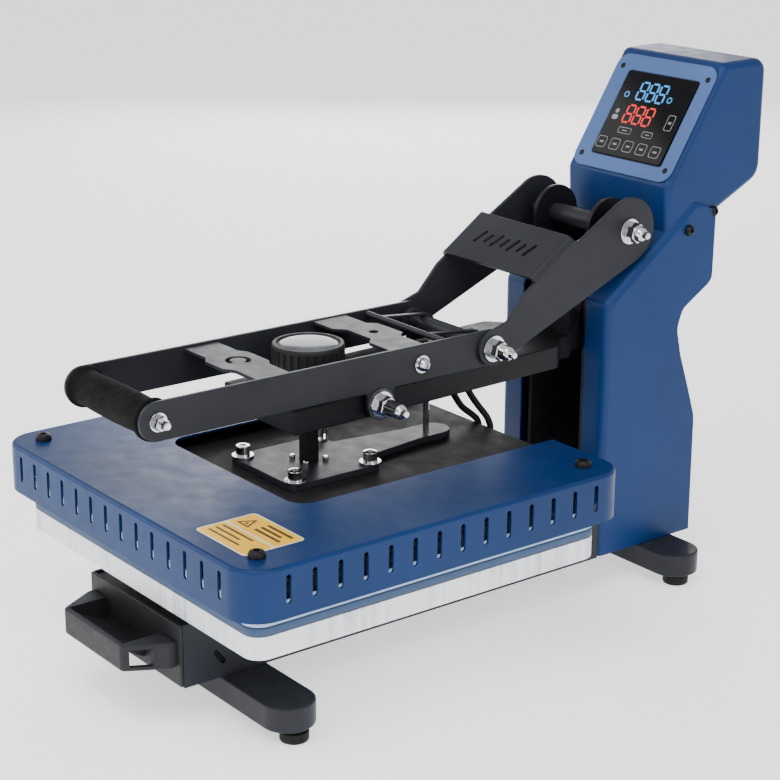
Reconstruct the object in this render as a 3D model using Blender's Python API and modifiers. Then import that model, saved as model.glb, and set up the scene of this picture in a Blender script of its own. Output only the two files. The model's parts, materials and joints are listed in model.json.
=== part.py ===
"""Clamshell heat press with a pull-out platen, modelled at rest: closed, with the drawer pushed in.

Every size and place below is in millimetres from the press point: the middle of the platens in X and Y, at
the height of the tops of the cover's slots. +X is the operator's right, -Y the front, +Z up. PRESS_POINT is
where that point stands in the finished frame, whose origin is on the floor under the middle of the bounding
box.
"""

from math import acos, atan2, cos, degrees, hypot, pi, radians, sin

import bmesh
import bpy
from mathutils import Euler, Matrix, Vector

MM = 0.001
PRESS_POINT = (0.0, -139.0, 183.0)
GAP = 0.3
ARC_STEP = radians(22.5)
ROUND_STEPS = 24

# Pivots, as (y, z). All hinges turn about X.
ARM_PIVOT = (335.0, 120.0)
HANDLE_PIVOT = (34.0, 65.0)
LINK_PIVOT = (163.0, 95.0)
HEAD_PIVOT = (333.0, 183.0)

# Platens and heater.
PLATEN = 380.0
PLATEN_CORNER = 16.0
PLATEN_BOTTOM = -79.0
PAD_BOTTOM = -58.0
HOT_PLATEN_BOTTOM = -50.0
HOT_PLATEN_TOP = -30.0
COVER = 415.3
COVER_CORNER = 30.0
COVER_BOTTOM = -38.0
COVER_TOP = 7.7
COVER_WALL = 2.0
COVER_SCREW = 178.0
NOTCH_HALF = 107.0
NOTCH_FRONT = -87.0
NOTCH_DEPTH = -12.0
TOP_PLATE_TOP = -5.0
TOP_PLATE_THICK = 3.0
SLOTS = 14
SLOT_PITCH = 25.78
SLOT_WIDTH = 5.0
SLOT_HEIGHT = 25.3
MOUNT_HALF = 50.0
MOUNT_TOP = 1.5
BOLT_SPREAD = 42.0
TONGUE_END = 147.0
TONGUE_RADIUS = 16.0
GUIDE_Y = 138.0

# Arm.
BEAM_HALF = 56.0
BEAM_FRONT = -55.0
BEAM_REAR = 258.0
BEAM_NOSE = 290.0
BEAM_NOSE_HALF = 37.0
BEAM_BOTTOM = 50.0
BEAM_HEIGHT = 22.5
BEAM_WALL = 4.0
BEAM_TILT = radians(1.0)
NECK_HALF = 33.0
PIN_RADIUS = 7.0
PIN_TIP = 101.0
LINK_TIP = 97.0
SHAFT_TIP = 93.5
REST_TUBE_RADIUS = 8.5

# Handle.
BAR_INNER = 60.0
BAR_OUTER = 64.0
BAR_TOP = 112.4
BAR_BOTTOM = 77.6
GRIP_Y = -198.0
GRIP_RADIUS = 16.0
GRIP_FLANGE = 18.5

# Yoke that ties the handle to the column's head of frame.
YOKE_INNER = BAR_OUTER + GAP
YOKE_OUTER = YOKE_INNER + 4.0
BRIDGE_FRONT = (209.0, 155.5)
BRIDGE_REAR = (257.0, 189.0)
YOKE_HEAD_RADIUS = 33.0
YOKE_TIP_RADIUS = 17.0

# Column and control head.
SHELL_HALF = 75.6
SHELL_WALL = 2.0
FLANGE_INNER = 46.0
COLUMN_FRONT = 300.0
COLUMN_FOOT = -146.5
FRAME_INNER = 36.0
FRAME_OUTER = 41.0
HEAD_HALF = 72.0
HEAD_WALL = 2.5
HEAD_SKIRT = 182.0
BEZEL_THICK = 1.6
FACE_FOOT = (378.0, 221.0)
FACE_TOP = (451.2, 335.0)
HEAD_REAR = 511.0
HEAD_TOP = 336.0

# Base and drawer.
BEAM_TOP = -147.0
BEAM_FOOT = -170.0
FLOOR = -183.0
FRONT_BEAM_Y = -124.5
REAR_BEAM_Y = 381.5
BASE_BEAM_WIDTH = 49.0
CHANNEL_HALF = 76.0
CHANNEL_WALL = 2.5
CHANNEL_TOP = -88.0
DRAWER_FACE = -190.0
PULL_FRONT = -233.0
PULL_HALF = 50.0
PULL_REAR_HALF = 70.0
PULL_TOP = -103.0
PULL_BOTTOM = -128.0


def press_to_world(point):
    return (Vector(point) + Vector(PRESS_POINT)) * MM


def clear_scene():
    for old in list(bpy.data.objects):
        bpy.data.objects.remove(old, do_unlink=True)


def collection(name, hidden=False):
    made = bpy.data.collections.new(name)
    made.hide_render = hidden
    bpy.context.scene.collection.children.link(made)
    return made


clear_scene()
PARTS = collection("heat_press")
CUTTERS = collection("cutters", hidden=True)


def material(name, colour, roughness, metallic=0.0):
    made = bpy.data.materials.new(name)
    made.use_nodes = True
    shader = made.node_tree.nodes["Principled BSDF"]
    shader.inputs["Base Color"].default_value = (*colour, 1.0)
    shader.inputs["Roughness"].default_value = roughness
    shader.inputs["Metallic"].default_value = metallic
    made.diffuse_color = (*colour, 1.0)
    return made


BLUE = material("blue_powder_coat", (0.035, 0.085, 0.24), 0.45)
PALE_BLUE = material("pale_blue_panel", (0.12, 0.19, 0.40), 0.5)
CHARCOAL = material("charcoal_powder_coat", (0.055, 0.062, 0.072), 0.5)
BLACK_STEEL = material("black_steel", (0.02, 0.021, 0.023), 0.45)
MOULDED = material("charcoal_plastic", (0.045, 0.048, 0.052), 0.55)
RUBBER = material("black_rubber", (0.012, 0.012, 0.013), 0.8)
FOAM = material("black_foam", (0.018, 0.018, 0.019), 0.85)
CHROME = material("bright_plating", (0.78, 0.78, 0.78), 0.12, 1.0)
ALUMINIUM = material("cast_aluminium", (0.76, 0.77, 0.78), 0.4, 1.0)
SILICONE = material("silicone_pad", (0.30, 0.37, 0.47), 0.6)
GLASS = material("black_glass", (0.005, 0.006, 0.008), 0.05)
LENS = material("clear_cap", (0.35, 0.36, 0.37), 0.08)
RED = material("switch_red", (0.5, 0.02, 0.02), 0.4)


# ---------------------------------------------------------------- outlines


def arc(centre, radius, start, end):
    """Points on an arc, angles in degrees, counter-clockwise where end is above start."""
    steps = max(1, round(abs(radians(end - start)) / ARC_STEP))
    angles = [radians(start + (end - start) * i / steps) for i in range(steps + 1)]
    return [(centre[0] + radius * cos(a), centre[1] + radius * sin(a)) for a in angles]


def circle(centre, radius, sides=16):
    turns = [2 * pi * i / sides for i in range(sides)]
    return [(centre[0] + radius * cos(a), centre[1] + radius * sin(a)) for a in turns]


def rounded(corners):
    """A closed outline from (u, v, radius) corners: each corner with a radius becomes an arc."""
    points = []
    count = len(corners)
    for index, (u, v, radius) in enumerate(corners):
        here = Vector((u, v))
        if radius <= 0:
            points.append((u, v))
            continue
        back = (Vector(corners[index - 1][:2]) - here).normalized()
        ahead = (Vector(corners[(index + 1) % count][:2]) - here).normalized()
        half = back.angle(ahead) / 2
        centre = here + (back + ahead).normalized() * (radius / sin(half))
        first = here + back * (radius * cos(half) / sin(half)) - centre
        turn = first.angle_signed(here + ahead * (radius * cos(half) / sin(half)) - centre)
        steps = max(1, round(abs(turn) / ARC_STEP))
        for i in range(steps + 1):
            points.append(tuple(centre + Matrix.Rotation(-turn * i / steps, 2) @ first))
    return points


def rectangle(u0, u1, v0, v1, radius=0.0):
    return rounded([(u0, v0, radius), (u1, v0, radius), (u1, v1, radius), (u0, v1, radius)])


def ribbon(path, thickness):
    """The closed outline of a sheet that is bent along path, with its thickness on the path's left."""
    inner = []
    for index, point in enumerate(path):
        here = Vector(point)
        sides = []
        if index > 0:
            step = (here - Vector(path[index - 1])).normalized()
            sides.append(Vector((-step.y, step.x)))
        if index < len(path) - 1:
            step = (Vector(path[index + 1]) - here).normalized()
            sides.append(Vector((-step.y, step.x)))
        middle = sum(sides, Vector((0, 0))).normalized()
        inner.append(tuple(here + middle * (thickness / middle.dot(sides[0]))))
    return list(path) + inner[::-1]


# ---------------------------------------------------------------- solids

# How an outline's (u, v) and its thickness lie in the frame, for a plate whose normal is each axis.
PLATE_FRAMES = {
    "X": Matrix(((0, 0, 1), (1, 0, 0), (0, 1, 0))),
    "Y": Matrix(((1, 0, 0), (0, 0, -1), (0, 1, 0))),
    "Z": Matrix.Identity(3),
}


def adopt(name, mesh, matrix, look, home):
    made = bpy.data.objects.new(name, mesh)
    made.matrix_world = matrix
    home.objects.link(made)
    if look:
        mesh.materials.clear()
        mesh.materials.append(look)
    if home is CUTTERS:
        made.hide_render = True
        made.display_type = "WIRE"
    return made


def plate(name, loops, normal, low, high, look=None, home=None):
    """A flat plate, from low to high along normal: the first outline is its edge, the others its holes."""
    curve = bpy.data.curves.new(name, "CURVE")
    curve.dimensions = "2D"
    curve.fill_mode = "BOTH"
    curve.extrude = (high - low) / 2 * MM
    for loop in loops:
        spline = curve.splines.new("POLY")
        spline.points.add(len(loop) - 1)
        spline.use_cyclic_u = True
        for point, (u, v) in zip(spline.points, loop):
            point.co = (u * MM, v * MM, 0, 1)
    turn = PLATE_FRAMES[normal]
    middle = (low + high) / 2 if normal != "Y" else -(low + high) / 2
    place = press_to_world(turn @ Vector((0, 0, middle)))
    return solid_from_curve(name, curve, Matrix.Translation(place) @ turn.to_4x4(), look, home)


def solid_from_curve(name, curve, matrix, look, home):
    guide = bpy.data.objects.new(name + "_curve", curve)
    bpy.context.scene.collection.objects.link(guide)
    guide.matrix_world = matrix
    graph = bpy.context.evaluated_depsgraph_get()
    mesh = bpy.data.meshes.new_from_object(guide.evaluated_get(graph))
    bpy.data.objects.remove(guide, do_unlink=True)
    weld = bmesh.new()
    weld.from_mesh(mesh)
    bmesh.ops.remove_doubles(weld, verts=weld.verts, dist=0.001 * MM)
    bmesh.ops.recalc_face_normals(weld, faces=weld.faces)
    weld.to_mesh(mesh)
    weld.free()
    mesh.name = name
    return adopt(name, mesh, matrix, look, home or PARTS)


def block(name, x, y, z, look=None, home=None, turn=(0, 0, 0)):
    """A box between the two limits given for each axis, turned about its own middle."""
    mesh = bpy.data.meshes.new(name)
    cube = bmesh.new()
    size = [high - low for low, high in (x, y, z)]
    bmesh.ops.create_cube(cube, size=1.0, matrix=Matrix.Diagonal((*size, 1.0 / MM)) * MM)
    cube.to_mesh(mesh)
    cube.free()
    middle = [(low + high) / 2 for low, high in (x, y, z)]
    matrix = Matrix.Translation(press_to_world(middle)) @ Euler(turn).to_matrix().to_4x4()
    return adopt(name, mesh, matrix, look, home or PARTS)


AXIS_TURNS = {"X": Euler((0, pi / 2, 0)), "Y": Euler((-pi / 2, 0, 0)), "Z": Euler((0, 0, 0))}


def rod(name, centre, radius, axis, low, high, look=None, home=None, sides=ROUND_STEPS):
    """A plain cylinder through centre along axis, from low to high on that axis."""
    mesh = bpy.data.meshes.new(name)
    round_bar = bmesh.new()
    bmesh.ops.create_cone(
        round_bar,
        cap_ends=True,
        segments=sides,
        radius1=radius * MM,
        radius2=radius * MM,
        depth=(high - low) * MM,
    )
    round_bar.to_mesh(mesh)
    round_bar.free()
    point = Vector(centre)
    point["XYZ".index(axis)] = (low + high) / 2
    matrix = Matrix.Translation(press_to_world(point)) @ AXIS_TURNS[axis].to_matrix().to_4x4()
    made = adopt(name, mesh, matrix, look, home or PARTS)
    smooth(made)
    return made


def turned(name, profile, centre, axis, look, steps=ROUND_STEPS, closed=False):
    """A turned piece: (radius, height) points down its outer side, spun about axis through centre."""
    mesh = bpy.data.meshes.new(name)
    points = [(radius * MM, 0, height * MM) for radius, height in profile]
    edges = [(i, i + 1) for i in range(len(points) - 1)]
    if closed:
        edges.append((len(points) - 1, 0))
    mesh.from_pydata(points, edges, [])
    matrix = Matrix.Translation(press_to_world(centre)) @ AXIS_TURNS[axis].to_matrix().to_4x4()
    made = adopt(name, mesh, matrix, look, PARTS)
    spin = made.modifiers.new("turn", "SCREW")
    spin.steps = spin.render_steps = steps
    spin.use_merge_vertices = True
    spin.merge_threshold = 0.00001
    spin.use_smooth_shade = True
    return made


def smooth(made, angle=35):
    made.data.shade_smooth()
    made.data.set_sharp_from_angle(angle=radians(angle))


def combine(target, tool, operation, solver="EXACT"):
    """Adds a Boolean to target and moves tool out of the render."""
    modifier = target.modifiers.new(tool.name, "BOOLEAN")
    modifier.object = tool
    modifier.operation = operation
    modifier.solver = solver
    if tool.name in PARTS.objects:
        PARTS.objects.unlink(tool)
        CUTTERS.objects.link(tool)
    tool.hide_render = True
    tool.display_type = "WIRE"


def cut(target, *tools):
    for tool in tools:
        combine(target, tool, "DIFFERENCE")


def join(target, *tools):
    for tool in tools:
        combine(target, tool, "UNION")


def soften(made, width, segments=2, angle=40):
    bevel = made.modifiers.new("soften", "BEVEL")
    bevel.width = width * MM
    bevel.segments = segments
    bevel.limit_method = "ANGLE"
    bevel.angle_limit = radians(angle)
    return made


def axis_empty(name, point):
    """An empty on a joint's axis, the parent of what that joint moves."""
    empty = bpy.data.objects.new(name, None)
    PARTS.objects.link(empty)
    empty.location = press_to_world(point)
    bpy.context.view_layer.update()
    return empty


def hang(empty, *pieces):
    for piece in pieces:
        piece.parent = empty
        piece.matrix_parent_inverse = empty.matrix_world.inverted()


SIDES = (("left", -1), ("right", 1))


def spread(side, inner, outer):
    """The X limits of a piece between two distances from the middle, on the side -1 or 1."""
    return (inner, outer) if side > 0 else (-outer, -inner)


# ---------------------------------------------------------------- base


def base_beam(name, y, half):
    reach = BASE_BEAM_WIDTH / 2
    outline = rectangle(-half, half, y - reach, y + reach, reach - 0.1)
    return plate(name, [outline], "Z", BEAM_FOOT, BEAM_TOP, CHARCOAL)


def foot(name, x, y):
    profile = [(0, BEAM_FOOT - GAP), (13, BEAM_FOOT - GAP), (13, FLOOR + 2), (11.5, FLOOR), (0, FLOOR)]
    return turned(name, profile, (x, y, 0), "Z", RUBBER, steps=16)


def base_channel():
    """The open-topped rail that the drawer runs in."""
    length = (DRAWER_FACE + 3.0 + GAP, COLUMN_FRONT - GAP)
    width, height = (-CHANNEL_HALF, CHANNEL_HALF), (BEAM_TOP + GAP, CHANNEL_TOP)
    made = block("base_channel", width, length, height, CHARCOAL)
    inner = CHANNEL_HALF - CHANNEL_WALL
    floor = BEAM_TOP + GAP + CHANNEL_WALL
    hollow = block("channel_hollow", (-inner, inner), (-300, 400), (floor, 0), home=CUTTERS)
    slant = [(-157.5, -122, 2), (-153.5, -118.5, 2), (-143, -132, 2), (-147, -135.5, 2)]
    port = plate("channel_port", [rounded(slant)], "X", -90, 90, home=CUTTERS)
    cut(made, hollow, port)
    return made


def build_base():
    base_beam("base_front_beam", FRONT_BEAM_Y, 166.0)
    base_beam("base_rear_beam", REAR_BEAM_Y, 127.0)
    for label, side in SIDES:
        foot(f"foot_front_{label}", side * 151.0, FRONT_BEAM_Y)
        foot(f"foot_rear_{label}", side * 107.0, REAR_BEAM_Y)
    base_channel()


# ---------------------------------------------------------------- column

SHELL_FRONT_PATH = [(COLUMN_FRONT, COLUMN_FOOT), (COLUMN_FRONT, 116.0), (312.0, 123.0), (377.0, 173.5)]
SHELL_REAR_PATH = [
    (430.0, COLUMN_FOOT),
    (429.0, -22.0),
    (418.0, 10.6),
    (405.0, 47.0),
    (398.0, 76.0),
    (405.0, 95.0),
    (444.5, 119.0),
    (445.0, 190.0),
]


def column_shell(label, side):
    """One side cover: a side sheet with a bent flange down its front edge."""
    outline = SHELL_FRONT_PATH + [(415.0, 203.0)] + SHELL_REAR_PATH[::-1]
    low, high = spread(side, SHELL_HALF - SHELL_WALL, SHELL_HALF)
    made = plate(f"column_shell_{label}", [outline], "X", low, high, BLUE)
    low, high = spread(side, FLANGE_INNER, SHELL_HALF - SHELL_WALL / 2)
    bend = ribbon(SHELL_FRONT_PATH[::-1], SHELL_WALL)
    flange = plate(f"column_flange_{label}", [bend], "X", low, high, BLUE)
    join(made, flange)
    return made


def column_back_cover():
    path = [(y - 1.5, z) for y, z in SHELL_REAR_PATH]
    path[-1] = (path[-1][0], HEAD_SKIRT)
    half = SHELL_HALF - SHELL_WALL - GAP
    return plate("column_back_cover", [ribbon(path, SHELL_WALL)], "X", -half, half, BLUE)


def column_frame(label, side):
    """One of the two steel plates inside the column that carry both hinge shafts."""
    top = arc(HEAD_PIVOT, 28.0, 0, 180)
    front = [(305.0, 150.0), (306.0, 60.0), (306.0, -146.0)]
    outline = [(390.0, -146.0), (390.0, 60.0), (361.0, 110.0), *top, *front]
    holes = [circle(HEAD_PIVOT, 10 + GAP), circle(ARM_PIVOT, 8 + GAP)]
    low, high = spread(side, FRAME_INNER, FRAME_OUTER)
    return plate(f"column_frame_{label}", [outline, *holes], "X", low, high, BLACK_STEEL)


def main_shaft():
    """The yoke's hinge shaft, with a washer and a domed nut at each end outside the yoke."""
    half = [*pin_end(YOKE_OUTER + GAP, SHAFT_TIP), (8.0, YOKE_OUTER + GAP), (8.0, 44.0), (10.0, 44.0)]
    profile = half + [(radius, -height) for radius, height in half[::-1]]
    return turned("main_shaft", profile, (0, *HEAD_PIVOT), "X", CHROME)


def arm_shaft():
    return rod("arm_shaft", (0, *ARM_PIVOT), 8.0, "X", -46, 46, CHROME)


def head_shell():
    """The control head: a folded sheet box whose open underside stands inside the column's top."""
    corners = [(381, 163, 0), (*FACE_FOOT, 8), (*FACE_TOP, 8)]
    corners += [(HEAD_REAR, HEAD_TOP, 12), (HEAD_REAR, 217.5, 16), (454, 190, 0)]
    made = plate("head_shell", [rounded(corners)], "X", -HEAD_HALF, HEAD_HALF, BLUE)
    back = HEAD_REAR - HEAD_WALL
    inside = [(383.6, 150, 0), (380.9, 220.3, 6), (452.7, 332.4, 6), (back, HEAD_TOP - HEAD_WALL, 9)]
    inside += [(back, 219.1, 13), (453, 192.4, 0), (440, 185, 0), (440, 150, 0)]
    reach = HEAD_HALF - HEAD_WALL
    cut(made, plate("head_hollow", [rounded(inside)], "X", -reach, reach, home=CUTTERS))
    return made


def face_panel(name, outline, lift, thick, look):
    """A panel parallel to the head's sloped face, lift above it: its outline is across and up the slope."""
    slope = atan2(FACE_TOP[1] - FACE_FOOT[1], FACE_TOP[0] - FACE_FOOT[0])
    made = plate(name, [outline], "Z", lift, lift + thick, look)
    turn = Matrix.Rotation(slope, 4, "X")
    origin = Vector((0, *FACE_FOOT))
    own = Vector((0, 0, lift + thick / 2))
    made.matrix_world = Matrix.Translation(press_to_world(origin + turn.to_3x3() @ own)) @ turn
    return made


def build_column():
    for label, side in SIDES:
        column_shell(label, side)
        column_frame(label, side)
    column_back_cover()
    main_shaft()
    arm_shaft()
    head_shell()
    face_panel("head_bezel", rectangle(-69, 69, 5.5, 126, 12), GAP, BEZEL_THICK, PALE_BLUE)
    face_panel("display_glass", rectangle(-44.5, 52.5, 18.5, 110.5, 3), 2 * GAP + BEZEL_THICK, 1.4, GLASS)


# ---------------------------------------------------------------- mains inlet and switch

PANEL_Y = 430.6
INLET = (-28.0, -100.0)
SWITCH = (26.0, -100.0)
INLET_DEPTH = 9.0
ROCKER_AXIS_LIFT = 3.0


def power_inlet():
    outline = rectangle(INLET[0] - 24, INLET[0] + 24, INLET[1] - 15, INLET[1] + 15, 4)
    made = plate("power_inlet", [outline], "Y", PANEL_Y, PANEL_Y + INLET_DEPTH, RUBBER)
    width = (INLET[0] - 13, INLET[0] + 13)
    height = (INLET[1] - 8, INLET[1] + 8)
    depth = (PANEL_Y + 2, PANEL_Y + INLET_DEPTH + 5)
    cut(made, block("inlet_well", width, depth, height, home=CUTTERS))
    return made


def switch_housing():
    u, v = SWITCH
    outer = rectangle(u - 14, u + 14, v - 11, v + 11, 2)
    inner = rectangle(u - 10.5, u + 10.5, v - 7.5, v + 7.5)
    return plate("switch_housing", [outer, inner], "Y", PANEL_Y, PANEL_Y + 4.0, RUBBER)


def switch_rocker():
    """The rocker stands proud on the side that is off, and turns about X."""
    u, v = SWITCH
    outline = [(2.2, -7.0), (4.2, -7.0), (5.6, 0.0), (6.9, 7.0), (2.2, 7.0)]
    shape = [(PANEL_Y + y, v + z) for y, z in outline]
    made = plate("switch_rocker", [shape], "X", u - 10.0, u + 10.0, RED)
    hang(axis_empty("switch_axis", (u, PANEL_Y + ROCKER_AXIS_LIFT, v)), made)
    return made


# ---------------------------------------------------------------- arm


def beam_outline(inset):
    half = BEAM_HALF - inset
    nose = BEAM_NOSE_HALF - inset
    shoulder = 12.0
    end = BEAM_NOSE + 4 * inset
    right = [(half, BEAM_FRONT + inset, 2), (half, BEAM_REAR, shoulder)]
    right += [(nose, BEAM_REAR + 14, shoulder), (nose, end, 0)]
    left = [(-x, y, radius) for x, y, radius in right[::-1]]
    return rounded(right + left)


def tilt_beam(made):
    """Turns a piece of the arm about the lower edge of the beam's front end."""
    hinge = press_to_world((0, BEAM_FRONT, BEAM_BOTTOM))
    turn = Matrix.Translation(hinge) @ Matrix.Rotation(BEAM_TILT, 4, "X") @ Matrix.Translation(-hinge)
    made.matrix_world = turn @ made.matrix_world


def arm_beam():
    """The arm: a sheet channel, open underneath, with narrowed rear end."""
    top = BEAM_BOTTOM + BEAM_HEIGHT
    made = plate("arm_beam", [beam_outline(0)], "Z", BEAM_BOTTOM, top, BLACK_STEEL)
    hollow = plate("beam_hollow", [beam_outline(BEAM_WALL)], "Z", 0, top - BEAM_WALL, home=CUTTERS)
    for piece in (made, hollow):
        tilt_beam(piece)
    bore = rod("beam_pin_bore", (0, *HANDLE_PIVOT), PIN_RADIUS + GAP, "X", -90, 90, home=CUTTERS)
    spindle_bore = rod("beam_spindle_bore", (0, 0, 0), 8 + 2 * GAP, "Z", 40, 100, home=CUTTERS)
    cut(made, hollow, bore, spindle_bore)
    return made


def arm_neck():
    """Two cheeks, joined by a cross wall, that rise from inside the beam to the arm's hinge shaft."""
    outline = [(232.0, 57.5), (232.0, 70.5), (292.0, 73.0), (300.0, 84.0), (313.0, 128.0)]
    outline += arc(ARM_PIVOT, 22.0, 150, -30)
    outline += [(350.0, 96.0), (318.0, 62.0)]
    hole = circle(ARM_PIVOT, 8 + GAP)
    cheeks = []
    for label, side in SIDES:
        low, high = spread(side, NECK_HALF - 8, NECK_HALF - 0.6)
        cheeks.append(plate(f"neck_cheek_{label}", [outline, hole], "X", low, high, BLACK_STEEL))
    wall = block("neck_wall", (-NECK_HALF + 6, NECK_HALF - 6), (296, 306), (66, 100), home=CUTTERS)
    made = cheeks[0]
    made.name = "arm_neck"
    join(made, cheeks[1], wall)
    return made


def pin_end(start, tip):
    """Down the outer side of a stud's end, a domed nut and a washer, from tip to the washer's outer rim."""
    end = [(0, tip), (3.2, tip - 0.8), (3.8, tip - 6), (7, tip - 8), (9, start + 13), (9, start + 2.5)]
    return end + [(13, start + 2.5), (13, start)]


def arm_pin():
    """The handle's hinge pin, held in the beam, with nuts outside the handle's bars."""
    start = BAR_OUTER + GAP
    half = [*pin_end(start, PIN_TIP), (PIN_RADIUS, start), (PIN_RADIUS, BAR_INNER - GAP)]
    half += [(10.5, BAR_INNER - GAP), (10.5, BEAM_HALF + GAP), (PIN_RADIUS, BEAM_HALF + GAP)]
    profile = half + [(radius, -height) for radius, height in half[::-1]]
    return turned("arm_pin", profile, (0, *HANDLE_PIVOT), "X", CHROME)


def rest_tube():
    """The cross tube on the arm, on two small brackets, level with the yoke's lower pivots."""
    made = rod("rest_tube", (0, *LINK_PIVOT), REST_TUBE_RADIUS, "X", -57.5, 57.5, BLACK_STEEL)
    foot_z = BEAM_BOTTOM + BEAM_HEIGHT + 4.6
    for label, side in SIDES:
        outline = [(150.0, foot_z), (176.0, foot_z + 0.4), (170.0, 96.0), (156.0, 96.0)]
        low, high = spread(side, 44.0, 50.0)
        join(made, plate(f"tube_bracket_{label}", [outline], "X", low, high))
    return made


def rest_strap():
    """The thin cross bar with two flat hooks that reach back over the cross tube."""
    bar_y, bar_z = 111.0, 109.0
    made = rod("rest_strap", (0, bar_y, bar_z), 3.0, "X", -58, 58, BLACK_STEEL, sides=12)
    over = arc(LINK_PIVOT, REST_TUBE_RADIUS + GAP, 95, -35)
    path = [(bar_y, bar_z), *over]
    for label, side in SIDES:
        low, high = spread(side, 33.0, 39.0)
        join(made, plate(f"tube_hook_{label}", [ribbon(path, 2.6)], "X", low, high))
    return made


def build_arm():
    pieces = [arm_beam(), arm_neck(), arm_pin(), rest_tube(), rest_strap()]
    hang(axis_empty("arm_axis", (0, *ARM_PIVOT)), *pieces)


# ---------------------------------------------------------------- heater


def slot_outline(u):
    top, foot_z, half = 0.0, -SLOT_HEIGHT, SLOT_WIDTH / 2
    return [
        (u - half, foot_z + half),
        (u, foot_z),
        (u + half, foot_z + half),
        (u + half, top - half),
        (u, top),
        (u - half, top - half),
    ]


def heater_cover():
    """The slotted sheet cover: open underneath, with a deep notch in its top that runs out at the rear."""
    half = COVER / 2
    edge = rectangle(-half, half, -half, half, COVER_CORNER)
    made = plate("heater_cover", [edge], "Z", COVER_BOTTOM, COVER_TOP, BLUE)
    inner = half - COVER_WALL
    hollow_loop = rectangle(-inner, inner, -inner, inner, COVER_CORNER - COVER_WALL)
    cut(made, plate("cover_hollow", [hollow_loop], "Z", -60, COVER_TOP - COVER_WALL, home=CUTTERS))
    side = NOTCH_HALF
    notch = rounded([(-side, NOTCH_FRONT, 20), (side, NOTCH_FRONT, 20), (side, 260, 0), (-side, 260, 0)])
    cut(made, plate("cover_notch", [notch], "Z", NOTCH_DEPTH, 20, home=CUTTERS))
    for index in range(SLOTS):
        outline = slot_outline((index - (SLOTS - 1) / 2) * SLOT_PITCH)
        cut(made, plate(f"slot_x_{index}", [outline], "X", -half - 9, half + 9, home=CUTTERS))
        cut(made, plate(f"slot_y_{index}", [outline], "Y", -half - 9, 9 - half, home=CUTTERS))
    return made


def heater_top_plate():
    """The black insulated plate that shows in the cover's notch."""
    reach = COVER / 2 - COVER_WALL - 1.5
    loop = rectangle(-reach, reach, -reach, reach, COVER_CORNER - COVER_WALL - 2)
    return plate("heater_top_plate", [loop], "Z", TOP_PLATE_TOP - TOP_PLATE_THICK, TOP_PLATE_TOP, BLACK_STEEL)


def square_plate(name, low, high, look, corner=PLATEN_CORNER):
    half = PLATEN / 2
    return plate(name, [rectangle(-half, half, -half, half, corner)], "Z", low, high, look)


def mount_plate():
    """The bolted square plate, with the tongue that carries the guide rod."""
    half = MOUNT_HALF
    root = 26.0
    tip = arc((0, TONGUE_END), TONGUE_RADIUS, 0, 180)
    front, rear = -half - 4, half - 4
    square = rounded([(-half, rear, 5), (-half, front, 5), (half, front, 5), (half, rear, 5)])
    outline = square + [(root, rear), (TONGUE_RADIUS, 120.0), *tip, (-TONGUE_RADIUS, 120.0), (-root, rear)]
    return plate("mount_plate", [outline], "Z", TOP_PLATE_TOP + GAP, MOUNT_TOP, CHARCOAL)


def mount_bolt(name, x, y):
    base = MOUNT_TOP + GAP
    profile = [(0, base + 11), (6, base + 11), (7, base + 10), (7, base + 2)]
    profile += [(10.5, base + 2), (10.5, base), (0, base)]
    return turned(name, profile, (x, y, 0), "Z", CHROME, steps=16)


def cover_screw(name, x, y):
    base = COVER_TOP + GAP
    profile = [(0, base + 6), (4, base + 5.2), (7, base + 2.5), (8, base), (0, base)]
    return turned(name, profile, (x, y, 0), "Z", RUBBER, steps=16)


# The (y, z) points of the two lead cables' routes, each with its x.
CABLES = {
    "left": (-7.0, [(163, 62), (168, 48), (177, 30), (188, 14), (200, 4), (208.5, -4), (212, -15)]),
    "right": (4.0, [(175, 62), (180, 48), (189, 30), (201, 14), (211, 2), (216, -8), (216.5, -16)]),
}


def heater_cable(label, offset, points):
    """One of two lead cables from inside the arm's beam down to the heater's rear edge."""
    route = [(offset, y, z) for y, z in points]
    curve = bpy.data.curves.new(f"heater_cable_{label}", "CURVE")
    curve.dimensions = "3D"
    curve.bevel_depth = 3.3 * MM
    curve.bevel_resolution = 2
    curve.use_fill_caps = True
    spline = curve.splines.new("POLY")
    spline.points.add(len(route) - 1)
    for point, place in zip(spline.points, route):
        point.co = (*[value * MM for value in place], 1)
    home = Matrix.Translation(Vector(PRESS_POINT) * MM)
    made = solid_from_curve(f"heater_cable_{label}", curve, home, RUBBER, None)
    smooth(made, 60)
    return made


def build_heater():
    made = [
        heater_cover(),
        heater_top_plate(),
        square_plate("heat_platen", HOT_PLATEN_BOTTOM, HOT_PLATEN_TOP, ALUMINIUM),
        mount_plate(),
        rod("pressure_post", (0, 0, 0), 9.0, "Z", MOUNT_TOP + GAP, 55.0, BLACK_STEEL),
        rod("guide_rod", (0, GUIDE_Y, 0), 3.0, "Z", MOUNT_TOP + GAP, 64.0, CHROME, sides=12),
    ]
    for row, y in (("front", -1), ("rear", 1)):
        for label, side in SIDES:
            made.append(mount_bolt(f"mount_bolt_{row}_{label}", side * BOLT_SPREAD, y * BOLT_SPREAD - 3))
            made.append(cover_screw(f"cover_screw_{row}_{label}", side * COVER_SCREW, y * COVER_SCREW))
    for label, (offset, points) in CABLES.items():
        made.append(heater_cable(label, offset, points))
    hang(axis_empty("heater_axis", (0, 0, MOUNT_TOP)), *made)


# ---------------------------------------------------------------- pressure knob

KNOB_BASE = 79.0
KNOB_TOP = 114.0
KNOB_RADIUS = 33.5


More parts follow.
